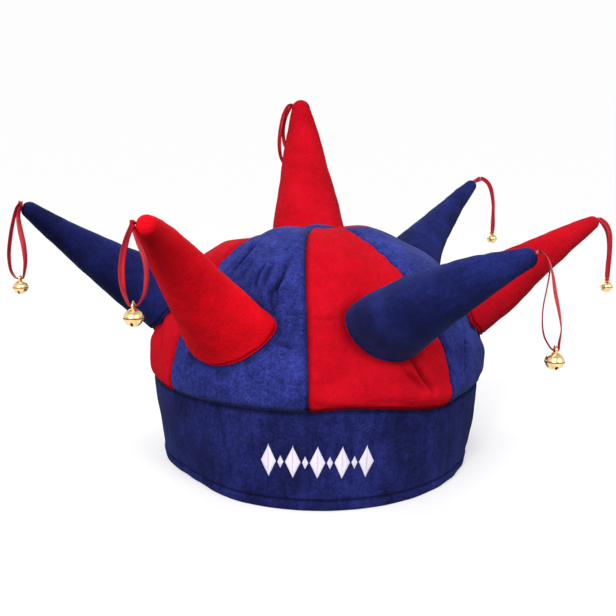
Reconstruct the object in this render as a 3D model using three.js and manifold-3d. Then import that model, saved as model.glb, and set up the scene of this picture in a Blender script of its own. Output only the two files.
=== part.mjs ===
// Jester hat: a round crown of six panels in two colours on a wide band, six stuffed horns sewn
// to the panels, and a small brass bell on a ribbon loop at the tip of each horn.
// Millimetres and degrees. +Z is up, the front faces -Y, and azimuth 0 is the front, +90 the right.

import * as THREE from "three";
import { mergeVertices } from "three/addons/utils/BufferGeometryUtils.js";
import Module from "manifold-3d";

const wasm = await Module();
wasm.setup();

// Band: an oval strip that is longer from front to back at its rim, as a head is
const rimSide = 88;
const rimFront = 102;
const bandHeight = 45;
const bandWall = 3;
const bandSwell = 1.2;
const hemHeight = 5;
const hemProud = 0.9;
const hemRound = 0.8;
const hemGroove = 0.6;
const bandSegments = 56;

// Crown: six shells, each swelling between its seams
const crownSide = 96;
const crownFront = 92;
const crownHeight = 86;
const crownWall = 2.5;
const apexBack = 10;
const panelPuff = 2.6;
const puffSquareness = 2.6;
const puffFrom = 0.16;
const puffFade = 0.7;
const puffLeft = 0.2;
const panelColumns = 8;
const panelLevels = [0, 0.06, 0.13, 0.21, 0.3, 0.4, 0.5, 0.6, 0.7, 0.79, 0.87, 0.94, 0.985];

// Clearances between sewn pieces, and between a ribbon and what it touches
const seamGap = 0.3;
const ribbonGap = 0.3;

// Horns
const hornLength = 106;
const hornBase = 20.8;
const hornRoot = 12;
const tipRadius = 4.2;
const hornSettle = 0.3;
const hornSides = 14;
const hornRingsBetween = [0.215, 0.38, 0.56];
const tipCapAngles = [33, 64];

// Ribbon loops: the twisted ribbon is stood for by a round strand
const strandRadius = 0.7;
const strandSpread = 1.1;
const strandLead = 1.6;
const strandSides = 8;

// Bells: two brass cups crimped together, with a slot below and an eye on top
const bellRadius = 3.65;
const bellHalfHeight = 3.45;
const bellWall = 0.5;
const ridgeProud = 0.25;
const ridgeHalfHeight = 0.35;
const slotWidth = 0.9;
const slotTop = -1.1;
const eyeWire = 0.4;
const slotLength = 5.5;
const bellSides = 10;
const bellAngles = [90, 62, 34];
const bellHollowAngles = [-90, -35, 35, 90];
const eyeWireSides = 5;
const eyeSides = 8;

// Seams of the crown: each starts from its azimuth at the band, and has turned by its lean where
// it would reach the apex
const seams = [
  { azimuth: -53, lean: 2 },
  { azimuth: -2, lean: -14 },
  { azimuth: 46.5, lean: -30 },
  { azimuth: 110, lean: -6 },
  { azimuth: 160, lean: 0 },
  { azimuth: 230, lean: 2 },
];

// Panels, in the order of the seams that each starts from
const panels = [
  { name: "crown_front_left", cloth: "blue" },
  { name: "crown_front_right", cloth: "red" },
  { name: "crown_right", cloth: "blue" },
  { name: "crown_back_right", cloth: "red" },
  { name: "crown_back_left", cloth: "blue" },
  { name: "crown_left", cloth: "red" },
];

// The crown's section, from the band (level 0) to the apex (level 1):
// reach is a share of crownSide and crownFront, climb a share of crownHeight
const crownRows = [
  { level: 0.0, reach: 0.992, climb: 0.0 },
  { level: 0.07, reach: 1.004, climb: 0.12 },
  { level: 0.14, reach: 0.985, climb: 0.235 },
  { level: 0.22, reach: 0.945, climb: 0.36 },
  { level: 0.31, reach: 0.88, climb: 0.5 },
  { level: 0.41, reach: 0.785, climb: 0.655 },
  { level: 0.51, reach: 0.672, climb: 0.79 },
  { level: 0.61, reach: 0.54, climb: 0.895 },
  { level: 0.72, reach: 0.385, climb: 0.962 },
  { level: 0.83, reach: 0.225, climb: 0.968 },
  { level: 0.92, reach: 0.1, climb: 0.94 },
  { level: 1.0, reach: 0.0, climb: 0.91 },
];

// Hollows where the soft crown sinks in: depth is a share of crownHeight, full within flat
// degrees of azimuth and gone at spread degrees, and strongest at level
const crownDents = [
  { azimuth: -110, flat: 30, spread: 68, level: 0.715, width: 0.13, depth: 0.077 },
  { azimuth: 88, flat: 10, spread: 50, level: 0.61, width: 0.09, depth: 0.035 },
];

// Dents in the soft band: depth is a share of bandHeight, strongest at the rim
const bandDents = [
  { azimuth: -47, spread: 24, depth: 0.08 },
  { azimuth: 152, spread: 30, depth: 0.05 },
];

// A horn's girth along its length: taper runs from the base (1) to the tip (0)
const taperRows = [
  { along: 0.0, taper: 1.0 },
  { along: 0.035, taper: 0.968 },
  { along: 0.075, taper: 0.92 },
  { along: 0.145, taper: 0.831 },
  { along: 0.29, taper: 0.654 },
  { along: 0.467, taper: 0.476 },
  { along: 0.643, taper: 0.319 },
  { along: 0.789, taper: 0.184 },
  { along: 0.913, taper: 0.08 },
  { along: 1.0, taper: 0.0 },
];

// Horns. azimuth and level place the base on the crown; heading and pitch aim the tip as seen
// from the base, at the share reach of hornLength; lift, sway and rise bend the horn, as shares
// of that distance; girth and tip scale hornBase and tipRadius; wide and tall shape the base's
// oval, which roll turns. exit is the way that the ribbon leaves the tip.
const horns = [
  {
    name: "left", azimuth: -86.5, level: 0.296, heading: -46.2, pitch: 32.4, reach: 0.904,
    lift: 0.43, sway: 0.045, rise: -0.02, girth: 1.107, tip: 1.02, wide: 1.13, tall: 0.89,
    roll: 0, cloth: "blue", exit: [-0.6, -0.6, 0.53],
  },
  {
    name: "front_left", azimuth: -28.65, level: 0.246, heading: -13.4, pitch: 33.17,
    reach: 0.955, lift: 0.455, sway: -0.07, rise: 0.244, girth: 0.974, tip: 0.98, wide: 1.215,
    tall: 0.79, roll: -18.3, cloth: "red", exit: [-0.93, -0.3, 0.2],
  },
  {
    name: "front_right", azimuth: 22.27, level: 0.275, heading: 33.65, pitch: 26.02,
    reach: 0.874, lift: 0.922, sway: -0.085, rise: -0.112, girth: 0.987, tip: 1.02, wide: 1.011,
    tall: 0.767, roll: 27, cloth: "blue", exit: [0.75, -0.4, 0.53],
  },
  {
    name: "right", azimuth: 85, level: 0.286, heading: 118.1, pitch: 26.38, reach: 1.023,
    lift: 0.411, sway: 0.091, rise: 0.075, girth: 1.017, tip: 1.05, wide: 1.13, tall: 0.86,
    roll: 0, cloth: "red", exit: [0.8, 0.45, 0.4],
  },
  {
    name: "back_right", azimuth: 132, level: 0.395, heading: 142.4, pitch: 32.6, reach: 1.0,
    lift: 0.314, sway: 0.057, rise: 0.039, girth: 1.031, tip: 1.02, wide: 1.11, tall: 0.98,
    roll: 0, cloth: "blue", exit: [0.65, 0.35, 0.67],
  },
  {
    name: "back_left", azimuth: 185, level: 0.496, heading: 190.9, pitch: 65.3, reach: 1.01,
    lift: 0.521, sway: 0.021, rise: 0.265, girth: 1.335, tip: 1.62, wide: 0.95, tall: 1.0,
    roll: 0, cloth: "red", exit: [-0.85, 0.2, 0.49],
  },
];

// Ribbon routes, each a chosen list of [x, y, z] from the centre of its horn's tip: down one
// strand, through the bell's eye between the two lowest points, and up the other
const ribbonRoutes = {
  left: [
    [-2.4, -6.2, 3.4], [-4.0, -7.0, 1.2], [-5.7, -7.2, -4.3], [-7.6, -7.2, -12.7],
    [-8.9, -7.1, -21.7], [-8.5, -6.9, -29.5], [-6.5, -6.8, -33.2], [-4.7, -6.7, -34.0],
    [-2.7, -6.7, -34.0], [-1.7, -6.5, -31.9], [-0.8, -6.4, -25.7], [-1.4, -6.2, -17.7],
    [-2.9, -5.8, -10.0], [-3.9, -5.1, -3.3], [-3.2, -4.3, 1.7],
  ],
  front_left: [
    [-4.8, -4.2, -0.3], [-6.5, -4.9, -4.8], [-8.0, -5.0, -11.0], [-8.6, -5.0, -17.3],
    [-8.1, -4.8, -23.9], [-6.8, -4.8, -27.8], [-5.5, -4.7, -29.4], [-3.5, -4.7, -29.4],
    [-1.6, -4.6, -27.6], [0.1, -4.6, -23.8], [0.7, -4.4, -17.9], [-0.2, -4.2, -11.5],
    [-2.3, -3.4, -6.3], [-4.2, -1.8, -1.3],
  ],
  front_right: [
    [3.8, -5.2, 3.3], [5.9, -6.0, 0.9], [7.2, -6.3, -3.7], [6.7, -6.4, -10.1],
    [5.7, -6.5, -17.4], [5.7, -6.5, -23.7], [6.6, -6.4, -28.6], [8.3, -6.3, -31.9],
    [10.4, -6.2, -34.2], [12.4, -6.2, -34.2], [12.8, -6.1, -31.8], [13.3, -5.8, -26.2],
    [12.3, -5.4, -19.7], [10.7, -4.7, -12.6], [9.4, -3.8, -5.4], [7.7, -2.8, -0.2],
    [5.1, -1.8, 2.8],
  ],
  right: [
    [6.5, 2.0, 2.0], [10.2, 1.6, -1.2], [12.4, 1.0, -6.9], [13.0, 0.3, -14.5],
    [13.0, 0.4, -23.2], [13.3, 2.0, -30.1], [14.2, 4.2, -35.2], [15.0, 5.2, -36.9],
    [15.0, 7.2, -36.9], [15.7, 8.0, -35.4], [16.2, 9.4, -29.1], [16.3, 10.1, -20.3],
    [15.4, 9.4, -12.1], [12.8, 7.4, -4.9], [7.7, 4.9, 0.9],
  ],
  back_right: [
    [7.1, 1.4, 5.9], [12.1, 1.1, 3.7], [15.8, 0.5, -1.9], [17.6, 0.0, -11.2],
    [18.2, 0.6, -20.9], [18.7, 2.4, -29.9], [19.0, 3.8, -33.4], [19.4, 4.6, -34.8],
    [19.4, 6.6, -34.8], [20.0, 7.6, -32.8], [20.2, 9.0, -24.4], [19.7, 9.2, -14.6],
    [17.7, 8.0, -5.2], [14.0, 6.0, 1.8], [8.5, 4.3, 4.7],
  ],
  back_left: [
    [-9.6, 1.2, 2.1], [-12.6, 0.5, -3.9], [-14.5, 0.4, -12.8], [-15.5, 0.7, -22.7],
    [-14.8, 1.5, -32.0], [-12.5, 2.3, -38.0], [-9.9, 3.0, -40.6], [-7.9, 3.0, -40.6],
    [-6.5, 3.8, -37.1], [-8.8, 4.2, -30.3], [-12.0, 4.0, -22.8], [-12.6, 3.7, -13.9],
    [-11.1, 3.2, -5.7], [-8.4, 2.6, 0.3],
  ],
};

const cloths = {
  blue: { color: 0x2c2f80, roughness: 0.95 },
  red: { color: 0xc8101c, roughness: 0.95 },
  band: { color: 0x1f1f5e, roughness: 0.95 },
  ribbon: { color: 0xb81a2c, roughness: 0.5 },
};
const brass = { color: 0xe6b84e, roughness: 0.25, metalness: 1 };

const UP = new THREE.Vector3(0, 0, 1);
const radians = THREE.MathUtils.degToRad;

function ease(from, to, at) {
  const share = THREE.MathUtils.clamp((at - from) / (to - from), 0, 1);
  return share * share * (3 - 2 * share);
}

// A smooth value between the rows of a table, whose slope at a row follows both its neighbours
function smooth(rows, place, column, at) {
  const last = rows.length - 1;
  let row = 0;
  while (row < last - 1 && at >= rows[row + 1][place]) row += 1;
  const slope = (index) => {
    const low = rows[Math.max(index - 1, 0)];
    const high = rows[Math.min(index + 1, last)];
    return (high[column] - low[column]) / (high[place] - low[place]);
  };
  const step = rows[row + 1][place] - rows[row][place];
  const share = THREE.MathUtils.clamp((at - rows[row][place]) / step, 0, 1);
  const square = share * share;
  const cube = square * share;
  const start = (2 * cube - 3 * square + 1) * rows[row][column];
  const end = (3 * square - 2 * cube) * rows[row + 1][column];
  const leave = (cube - 2 * square + share) * step * slope(row);
  const arrive = (cube - square) * step * slope(row + 1);
  return start + end + leave + arrive;
}

// How many degrees two azimuths lie apart
function degreesApart(azimuth, other) {
  return Math.abs(THREE.MathUtils.euclideanModulo(azimuth - other + 180, 360) - 180);
}

// The crown's surface before its panels swell
function crownBase(azimuth, level) {
  const reach = smooth(crownRows, "level", "reach", level);
  let climb = smooth(crownRows, "level", "climb", level);
  for (const one of crownDents) {
    const share = 1 - ease(one.flat, one.spread, degreesApart(azimuth, one.azimuth));
    climb -= one.depth * share * Math.exp(-(((level - one.level) / one.width) ** 2));
  }
  return new THREE.Vector3(
    reach * crownSide * Math.sin(radians(azimuth)),
    -reach * crownFront * Math.cos(radians(azimuth)) + apexBack * (1 - reach),
    bandHeight + crownHeight * climb,
  );
}

function crownNormal(azimuth, level) {
  const turn = 0.05;
  const rise = 0.001;
  const low = Math.max(level - rise, 0);
  const across = crownBase(azimuth + turn, level).sub(crownBase(azimuth - turn, level));
  const upward = crownBase(azimuth, level + rise).sub(crownBase(azimuth, low));
  return across.cross(upward).normalize();
}

// The azimuths of both edges of a panel at a level
function panelEdges(panel, level) {
  const start = seams[panel];
  const isLast = panel === seams.length - 1;
  const end = isLast ? seams[0] : seams[panel + 1];
  const turn = isLast ? 360 : 0;
  return {
    from: start.azimuth + start.lean * level ** 2,
    to: end.azimuth + turn + end.lean * level ** 2,
  };
}

// The share of the way across its panel at which a point of the crown lies
function acrossPanel(azimuth, level) {
  for (const panel of panels.keys()) {
    const { from, to } = panelEdges(panel, level);
    const past = THREE.MathUtils.euclideanModulo(azimuth - from, 360);
    if (past <= to - from) return past / (to - from);
  }
  return 0;
}

// How far the cloth stands out at a share of the way across a panel: it starts flat at the band,
// swells fully from level puffFrom on, and sinks again towards the apex from level puffFade on
function puff(across, level) {
  const swell = 1 - Math.abs(2 * across - 1) ** puffSquareness;
  const fade = THREE.MathUtils.lerp(1, puffLeft, ease(puffFade, 1, level));
  return panelPuff * swell * ease(0, puffFrom, level) * fade;
}

function crownPoint(azimuth, level, out = 0) {
  const height = puff(acrossPanel(azimuth, level), level) + out;
  return crownBase(azimuth, level).addScaledVector(crownNormal(azimuth, level), height);
}

// A closed body from a grid of points: rows of equal length, wrapped round both ways
function wrappedSolid(grid) {
  const rows = grid.length;
  const columns = grid[0].length;
  const positions = grid.flat().flatMap((point) => point.toArray());
  const index = [];
  for (let row = 0; row < rows; row += 1) {
    for (let column = 0; column < columns; column += 1) {
      const nextRow = (row + 1) % rows;
      const nextColumn = (column + 1) % columns;
      const corner = row * columns + column;
      const right = row * columns + nextColumn;
      const above = nextRow * columns + column;
      const diagonal = nextRow * columns + nextColumn;
      index.push(corner, right, diagonal, corner, diagonal, above);
    }
  }
  return indexed(positions, index);
}

// A closed body from rings that run from a first cap point to a last one
function cappedSolid(rings, firstPoint, lastPoint) {
  const sides = rings[0].length;
  const positions = [...rings.flat(), firstPoint, lastPoint].flatMap((point) => point.toArray());
  const firstCap = rings.length * sides;
  const lastCap = firstCap + 1;
  const index = [];
  for (let side = 0; side < sides; side += 1) {
    const next = (side + 1) % sides;
    for (let ring = 0; ring < rings.length - 1; ring += 1) {
      const corner = ring * sides;
      const above = corner + sides;
      index.push(corner + side, corner + next, above + next);
      index.push(corner + side, above + next, above + side);
    }
    const top = (rings.length - 1) * sides;
    index.push(firstCap, next, side);
    index.push(lastCap, top + side, top + next);
  }
  return indexed(positions, index);
}

function indexed(positions, index) {
  const geometry = new THREE.BufferGeometry();
  geometry.setAttribute("position", new THREE.Float32BufferAttribute(positions, 3));
  geometry.setIndex(index);
  return geometry;
}

// Solids for joining and cutting, and back
function toSolid(geometry) {
  const weldDistance = 1e-4;
  const plain = geometry.clone();
  plain.deleteAttribute("normal");
  plain.deleteAttribute("uv");
  const merged = mergeVertices(plain, weldDistance);
  return new wasm.Manifold(new wasm.Mesh({
    numProp: 3,
    vertProperties: new Float32Array(merged.attributes.position.array),
    triVerts: new Uint32Array(merged.index.array),
  }));
}

function toGeometry(solid) {
  const mesh = solid.getMesh();
  return indexed(Array.from(mesh.vertProperties), Array.from(mesh.triVerts));
}

function piece(name, geometry, finish) {
  const mesh = new THREE.Mesh(geometry, new THREE.MeshStandardMaterial(finish));
  mesh.name = name;
  return mesh;
}

// The band's outer line at a height: the rim's oval turns into the crown's lower edge
function bandPoint(azimuth, height, out) {
  const share = height / bandHeight;
  const swell = bandSwell * Math.sin(Math.PI * share);
  const seamReach = crownRows[0].reach;
  const side = THREE.MathUtils.lerp(rimSide, crownSide * seamReach, share) + swell;
  const front = THREE.MathUtils.lerp(rimFront, crownFront * seamReach, share) + swell;
  let dent = 0;
  for (const one of bandDents) {
    const away = degreesApart(azimuth, one.azimuth);
    dent += one.depth * bandHeight * (1 - ease(0, one.spread, away)) * (1 - share);
  }
  return new THREE.Vector3(
    (side + out - dent) * Math.sin(radians(azimuth)),
    -(front + out - dent) * Math.cos(radians(azimuth)),
    height,
  );
}

function makeBand() {
  const top = bandHeight - seamGap;
  const lowerMiddle = hemHeight + (top - hemHeight) / 3;
  const upperMiddle = hemHeight + ((top - hemHeight) * 2) / 3;
  const section = [
    { height: 0, out: hemProud - hemRound },
    { height: hemRound, out: hemProud },
    { height: hemHeight - hemRound, out: hemProud },
    { height: hemHeight, out: -hemGroove },
    { height: hemHeight + hemRound, out: 0 },
    { height: lowerMiddle, out: 0 },
    { height: upperMiddle, out: 0 },
    { height: top, out: 0 },
    { height: top, out: -bandWall },
    { height: lowerMiddle, out: -bandWall },
    { height: hemRound, out: -bandWall },
    { height: 0, out: hemRound - bandWall },
  ];
  const grid = section.map(({ height, out }) => {
    const ring = [];
    for (let step = 0; step < bandSegments; step += 1) {
      ring.push(bandPoint((360 * step) / bandSegments, height, out));
    }
    return ring;
  });
  return piece("band", wrappedSolid(grid), cloths.band);
}

// One panel: an outer and an inner skin, joined along the band, both seams and the apex
function makePanel({ name, cloth }, panel) {
  const skinRow = (level, out) => {
    const row = [];
    const { from, to } = panelEdges(panel, level);
    const reach = smooth(crownRows, "level", "reach", level);
    for (let column = 0; column <= panelColumns; column += 1) {
      const across = column / panelColumns;
      const edge = column === 0 ? 1 : column === panelColumns ? -1 : 0;
      const inset = THREE.MathUtils.radToDeg(seamGap / 2 / (reach * crownFront)) * edge;
      const azimuth = THREE.MathUtils.lerp(from, to, across) + inset;
      const height = puff(across, level) + out;
      row.push(crownBase(azimuth, level).addScaledVector(crownNormal(azimuth, level), height));
    }
    return row;
  };
  const outer = panelLevels.map((level) => skinRow(level, 0));
  const inner = panelLevels.map((level) => skinRow(level, -crownWall));
  const rings = outer.map((row, level) => [...row, ...inner[level].reverse()]);
  return piece(name, loftedSolid(rings), cloths[cloth]);
}

// A closed body from thin rings, each an outer row and an inner row, whose ends close flat
function loftedSolid(rings) {
  const sides = rings[0].length;
  const half = sides / 2;
  const positions = rings.flat().flatMap((point) => point.toArray());
  const index = [];
  for (let ring = 0; ring < rings.length - 1; ring += 1) {
    for (let side = 0; side < sides; side += 1) {
      const next = (side + 1) % sides;
      const corner = ring * sides;
      const above = corner + sides;
      index.push(corner + side, corner + next, above + next);
      index.push(corner + side, above + next, above + side);
    }
  }
  const top = (rings.length - 1) * sides;
  for (let side = 0; side < half - 1; side += 1) {
    const far = sides - 1 - side;
    index.push(side, far, far - 1, side, far - 1, side + 1);
    index.push(top + side, top + side + 1, top + far - 1, top + side, top + far - 1, top + far);
  }
  return indexed(positions, index);
}

// The space that the crown fills, grown by the clearance, which hollows the horns' bases
function makeCrownForm() {
  const rings = panelLevels.map((level) => {
    const ring = [];
    for (const panel of panels.keys()) {
      const { from, to } = panelEdges(panel, level);
      for (let column = 0; column < panelColumns; column += 1) {
        const azimuth = THREE.MathUtils.lerp(from, to, column / panelColumns);
        ring.push(crownPoint(azimuth, level, seamGap));
      }
    }
    return ring;
  });
  const below = new THREE.Vector3(0, 0, bandHeight);
  const above = crownBase(0, 1).addScaledVector(UP, seamGap);
  return toSolid(cappedSolid(rings, below, above));
}

// A horn's middle line, from the crown to the centre of its round tip
function hornLine(horn) {
  const start = crownPoint(horn.azimuth, horn.level);
  const outward = crownNormal(horn.azimuth, horn.level);
  const length = hornLength * horn.reach;
  const level = Math.cos(radians(horn.pitch));
  const aim = new THREE.Vector3(
    level * Math.sin(radians(horn.heading)),
    -level * Math.cos(radians(horn.heading)),
    Math.sin(radians(horn.pitch)),
  );
  const sideways = new THREE.Vector3(
    Math.cos(radians(horn.azimuth)),
    Math.sin(radians(horn.azimuth)),
    0,
  );
  const end = start.clone().addScaledVector(aim, length);
  const bend = start.clone()
    .addScaledVector(outward, length * horn.lift)
    .addScaledVector(sideways, length * horn.sway)
    .addScaledVector(UP, length * horn.rise);
  return { curve: new THREE.QuadraticBezierCurve3(start, bend, end), outward };
}

function ringAround(centre, facing, halfWide, halfTall, roll) {
  const sideways = facing.clone().cross(UP).normalize()
    .applyAxisAngle(facing, -radians(roll));
  const upright = sideways.clone().cross(facing).normalize();
  const ring = [];
  for (let side = 0; side < hornSides; side += 1) {
    const angle = (2 * Math.PI * side) / hornSides;
    ring.push(centre.clone()
      .addScaledVector(sideways, halfWide * Math.cos(angle))
      .addScaledVector(upright, halfTall * Math.sin(angle)));
  }
  return ring.reverse();
}

// A stuffed horn: an oval base lying on the crown, a round tapering body and a round tip
function makeHorn(horn, crownForm) {
  const { curve, outward } = hornLine(horn);
  const base = hornBase * horn.girth;
  const tip = tipRadius * horn.tip;
  const rings = [];
  const root = curve.v0.clone().addScaledVector(outward, -hornRoot);
  rings.push(ringAround(root, outward, base * horn.wide, base * horn.tall, horn.roll));
  const places = [...taperRows.map((row) => row.along), ...hornRingsBetween];
  places.sort((one, other) => one - other);
  for (const along of places) {
    const settle = ease(0, hornSettle, along);
    const facing = outward.clone().lerp(curve.getTangent(along), settle).normalize();
    const radius = tip + (base - tip) * smooth(taperRows, "along", "taper", along);
    const wide = radius * THREE.MathUtils.lerp(horn.wide, 1, settle);
    const tall = radius * THREE.MathUtils.lerp(horn.tall, 1, settle);
    rings.push(ringAround(curve.getPoint(along), facing, wide, tall, horn.roll));
  }
  const forward = curve.getTangent(1);
  for (const angle of tipCapAngles) {
    const centre = curve.v2.clone().addScaledVector(forward, tip * Math.sin(radians(angle)));
    const radius = tip * Math.cos(radians(angle));
    rings.push(ringAround(centre, forward, radius, radius, horn.roll));
  }
  const end = curve.v2.clone().addScaledVector(forward, tip);
  const body = toSolid(cappedSolid(rings, root, end));
  return piece(`horn_${horn.name}`, toGeometry(body.subtract(crownForm)), cloths[horn.cloth]);
}

// A smooth line that is sampled at its own points, however far apart they lie
class Strand extends THREE.CatmullRomCurve3 {
  getPointAt(share, target) {
    return this.getPoint(share, target);
  }

  getTangentAt(share, target) {
    return this.getTangent(share, target);
  }
}

// A ribbon loop: both ends are sewn side by side to the horn's tip
function ribbonPath(horn) {
  const { curve } = hornLine(horn);
  const exit = new THREE.Vector3(...horn.exit).normalize();
  const apart = exit.clone().cross(UP).normalize();
  const seat = curve.v2.clone().addScaledVector(exit, tipRadius * horn.tip + ribbonGap);
  const route = ribbonRoutes[horn.name].map((point) => curve.v2.clone().add(
    new THREE.Vector3(...point),
  ));
  const turn = route[0].clone().sub(route.at(-1)).dot(apart);
  const spread = Math.sign(turn) * strandSpread;
  const down = seat.clone().addScaledVector(apart, spread);
  const back = seat.clone().addScaledVector(apart, -spread);
  return new Strand([
    down,
    down.clone().addScaledVector(exit, strandLead),
    ...route,
    back.clone().addScaledVector(exit, strandLead),
    back,
  ]);
}

function makeRibbon(horn) {
  const section = new THREE.Shape();
  section.absarc(0, 0, strandRadius, 0, 2 * Math.PI);
  const path = ribbonPath(horn);
  const geometry = new THREE.ExtrudeGeometry(section, {
    steps: path.points.length - 1,
    curveSegments: strandSides / 2,
    extrudePath: path,
  });
  return piece(`ribbon_${horn.name}`, geometry, cloths.ribbon);
}

// The eye clears the strand all round, and its foot is sunk in the bell's crown
const eyeRadius = strandRadius + ribbonGap + eyeWire;
const eyeHeight = bellHalfHeight + ribbonGap + strandRadius;

// A point of the bell's round section at an angle above its equator, shrunk by a wall
function bellPoint(angle, wall) {
  const atPole = Math.abs(angle) === 90;
  const radius = atPole ? 0 : (bellRadius - wall) * Math.cos(radians(angle));
  return new THREE.Vector2(radius, (bellHalfHeight - wall) * Math.sin(radians(angle)));
}

// A bell, drawn about its own centre: a hollow turned body with an eye, and a slot cut below
function bellSolid() {
  const upper = bellAngles.map((angle) => bellPoint(angle, 0));
  const ridge = [
    new THREE.Vector2(bellRadius, ridgeHalfHeight),
    new THREE.Vector2(bellRadius + ridgeProud, ridgeHalfHeight),
    new THREE.Vector2(bellRadius + ridgeProud, -ridgeHalfHeight),
    new THREE.Vector2(bellRadius, -ridgeHalfHeight),
  ];
  const lower = bellAngles.map((angle) => bellPoint(-angle, 0)).reverse();
  const hollow = bellHollowAngles.map((angle) => bellPoint(angle, bellWall));
  const profile = [...upper, ...ridge, ...lower, ...hollow, upper[0]].reverse();
  const turned = new THREE.LatheGeometry(profile, bellSides);
  turned.rotateX(Math.PI / 2);
  const eye = new THREE.TorusGeometry(eyeRadius, eyeWire, eyeWireSides, eyeSides);
  eye.rotateX(Math.PI / 2);
  eye.translate(0, 0, eyeHeight);
  const depth = bellHalfHeight + slotTop;
  const slot = new THREE.BoxGeometry(slotLength, slotWidth, depth * 2);
  slot.translate(0, 0, slotTop - depth);
  return toSolid(turned).add(toSolid(eye)).subtract(toSolid(slot));
}

// The bell hangs midway between the two lowest points of its ribbon
function makeBell(horn) {
  const byHeight = ribbonPath(horn).points.sort((first, second) => first.z - second.z);
  const [one, other] = byHeight;
  const along = other.clone().sub(one);
  const mesh = piece(`bell_${horn.name}`, toGeometry(bellSolid()), brass);
  mesh.position.copy(one).lerp(other, 0.5).addScaledVector(UP, -eyeHeight);
  mesh.rotation.z = Math.atan2(along.y, along.x) + Math.PI / 2;
  return mesh;
}

const crownForm = makeCrownForm();
const sewn = [makeBand(), ...panels.map(makePanel), ...horns.map((horn) => makeHorn(horn, crownForm))];
const trims = horns.flatMap((horn) => [makeRibbon(horn), makeBell(horn)]);

// The origin is under the middle of the sewn hat, on the surface that its rim rests on
const hat = new THREE.Group();
hat.add(...sewn, ...trims);
const extent = new THREE.Box3();
for (const mesh of sewn) extent.expandByObject(mesh);
const middle = extent.getCenter(new THREE.Vector3());
hat.position.set(-middle.x, -middle.y, -extent.min.z);

export default hat;
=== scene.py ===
"""Looks of the jester hat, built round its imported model.

Lengths in the tables are in millimetres and angles in degrees, measured from the centre of the
rim on the surface that it rests on: +Z up, front -Y, azimuth 0 at the front and +90 on the right.
"""

import math

import bmesh
import bpy
import numpy as np
from mathutils import Matrix, Vector
from mathutils.bvhtree import BVHTree


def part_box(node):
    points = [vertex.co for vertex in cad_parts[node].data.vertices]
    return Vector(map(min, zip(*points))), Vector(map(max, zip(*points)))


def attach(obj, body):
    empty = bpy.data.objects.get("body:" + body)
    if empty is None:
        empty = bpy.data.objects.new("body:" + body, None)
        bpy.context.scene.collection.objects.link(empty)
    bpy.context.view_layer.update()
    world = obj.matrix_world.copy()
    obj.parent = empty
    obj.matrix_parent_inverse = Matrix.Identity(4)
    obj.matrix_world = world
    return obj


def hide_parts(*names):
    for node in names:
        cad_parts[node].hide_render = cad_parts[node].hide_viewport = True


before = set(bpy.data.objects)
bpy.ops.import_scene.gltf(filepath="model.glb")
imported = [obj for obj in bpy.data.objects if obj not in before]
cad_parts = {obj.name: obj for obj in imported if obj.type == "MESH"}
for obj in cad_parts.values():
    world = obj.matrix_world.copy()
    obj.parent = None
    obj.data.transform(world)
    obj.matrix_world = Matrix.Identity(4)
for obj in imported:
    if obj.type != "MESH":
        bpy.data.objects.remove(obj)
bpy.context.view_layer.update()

MM = 0.001
band_low, band_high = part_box("band")
CENTRE = np.array([(band_low.x + band_high.x) / 2, (band_low.y + band_high.y) / 2, 0.0])


def to_row(points):
    """Points in millimetres from the rim's centre, in the row frame in metres."""
    return np.asarray(points, float) * MM + CENTRE


def add_object(name, data):
    obj = bpy.data.objects.new(name, data)
    bpy.context.scene.collection.objects.link(obj)
    return obj


# The camera, fitted to the photo: picture and focal length in pixels, sensor and eye in
# millimetres, nearest distance in metres, and turn in degrees
IMAGE, FOCAL, SENSOR, NEAREST = 616, 721.4, 36.0, 0.01
EYE = (0.0, -426.0, 146.7)
PITCH, YAW, ROLL = 8.61, -0.74, 0.90


def add_camera():
    data = bpy.data.cameras.new("camera")
    data.sensor_width = SENSOR
    data.lens = SENSOR * FOCAL / IMAGE
    data.clip_start = NEAREST
    camera = add_object("camera", data)
    sp, sy, sr = (math.sin(math.radians(angle)) for angle in (PITCH, YAW, ROLL))
    cp, cy, cr = (math.cos(math.radians(angle)) for angle in (PITCH, YAW, ROLL))
    ahead = Vector((cp * sy, cp * cy, -sp))
    right = Vector((cy, -sy, 0.0))
    up = Vector((sp * sy, sp * cy, cp))
    right, up = right * cr + up * sr, up * cr - right * sr
    turn = Matrix((right, up, -ahead)).transposed().to_4x4()
    camera.matrix_world = Matrix.Translation(Vector(to_row(EYE))) @ turn
    bpy.context.scene.camera = camera


add_camera()

# Sizes of the hat, as in its source
RIM_SIDE, RIM_FRONT, BAND_HEIGHT = 88.0, 102.0, 45.0
BAND_WALL, BAND_SWELL = 3.0, 1.2
HEM_HEIGHT, HEM_PROUD = 5.0, 0.9
CROWN_SIDE, CROWN_FRONT, CROWN_HEIGHT = 96.0, 92.0, 86.0
CROWN_WALL, APEX_BACK, PANEL_PUFF = 2.5, 10.0, 2.6
HORN_LENGTH, HORN_BASE, TIP_RADIUS = 106.0, 20.8, 4.2
EYE_HEIGHT = 4.45

# The crown from its seam, 0, to its apex, 1: level, and the shares of its width and height
CROWN_ROWS = np.array([
    (0.0, 0.992, 0.0), (0.07, 1.004, 0.12), (0.14, 0.985, 0.235), (0.22, 0.945, 0.36),
    (0.31, 0.88, 0.5), (0.41, 0.785, 0.655), (0.51, 0.672, 0.79), (0.61, 0.54, 0.895),
    (0.72, 0.385, 0.962), (0.83, 0.225, 0.968), (0.92, 0.1, 0.94), (1.0, 0.0, 0.91),
])
# Hollows of the soft crown: azimuth, flat, spread, level, width, depth
CROWN_DENTS = ((-110, 30, 68, 0.715, 0.13, 0.077), (88, 10, 50, 0.61, 0.09, 0.035))
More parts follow.
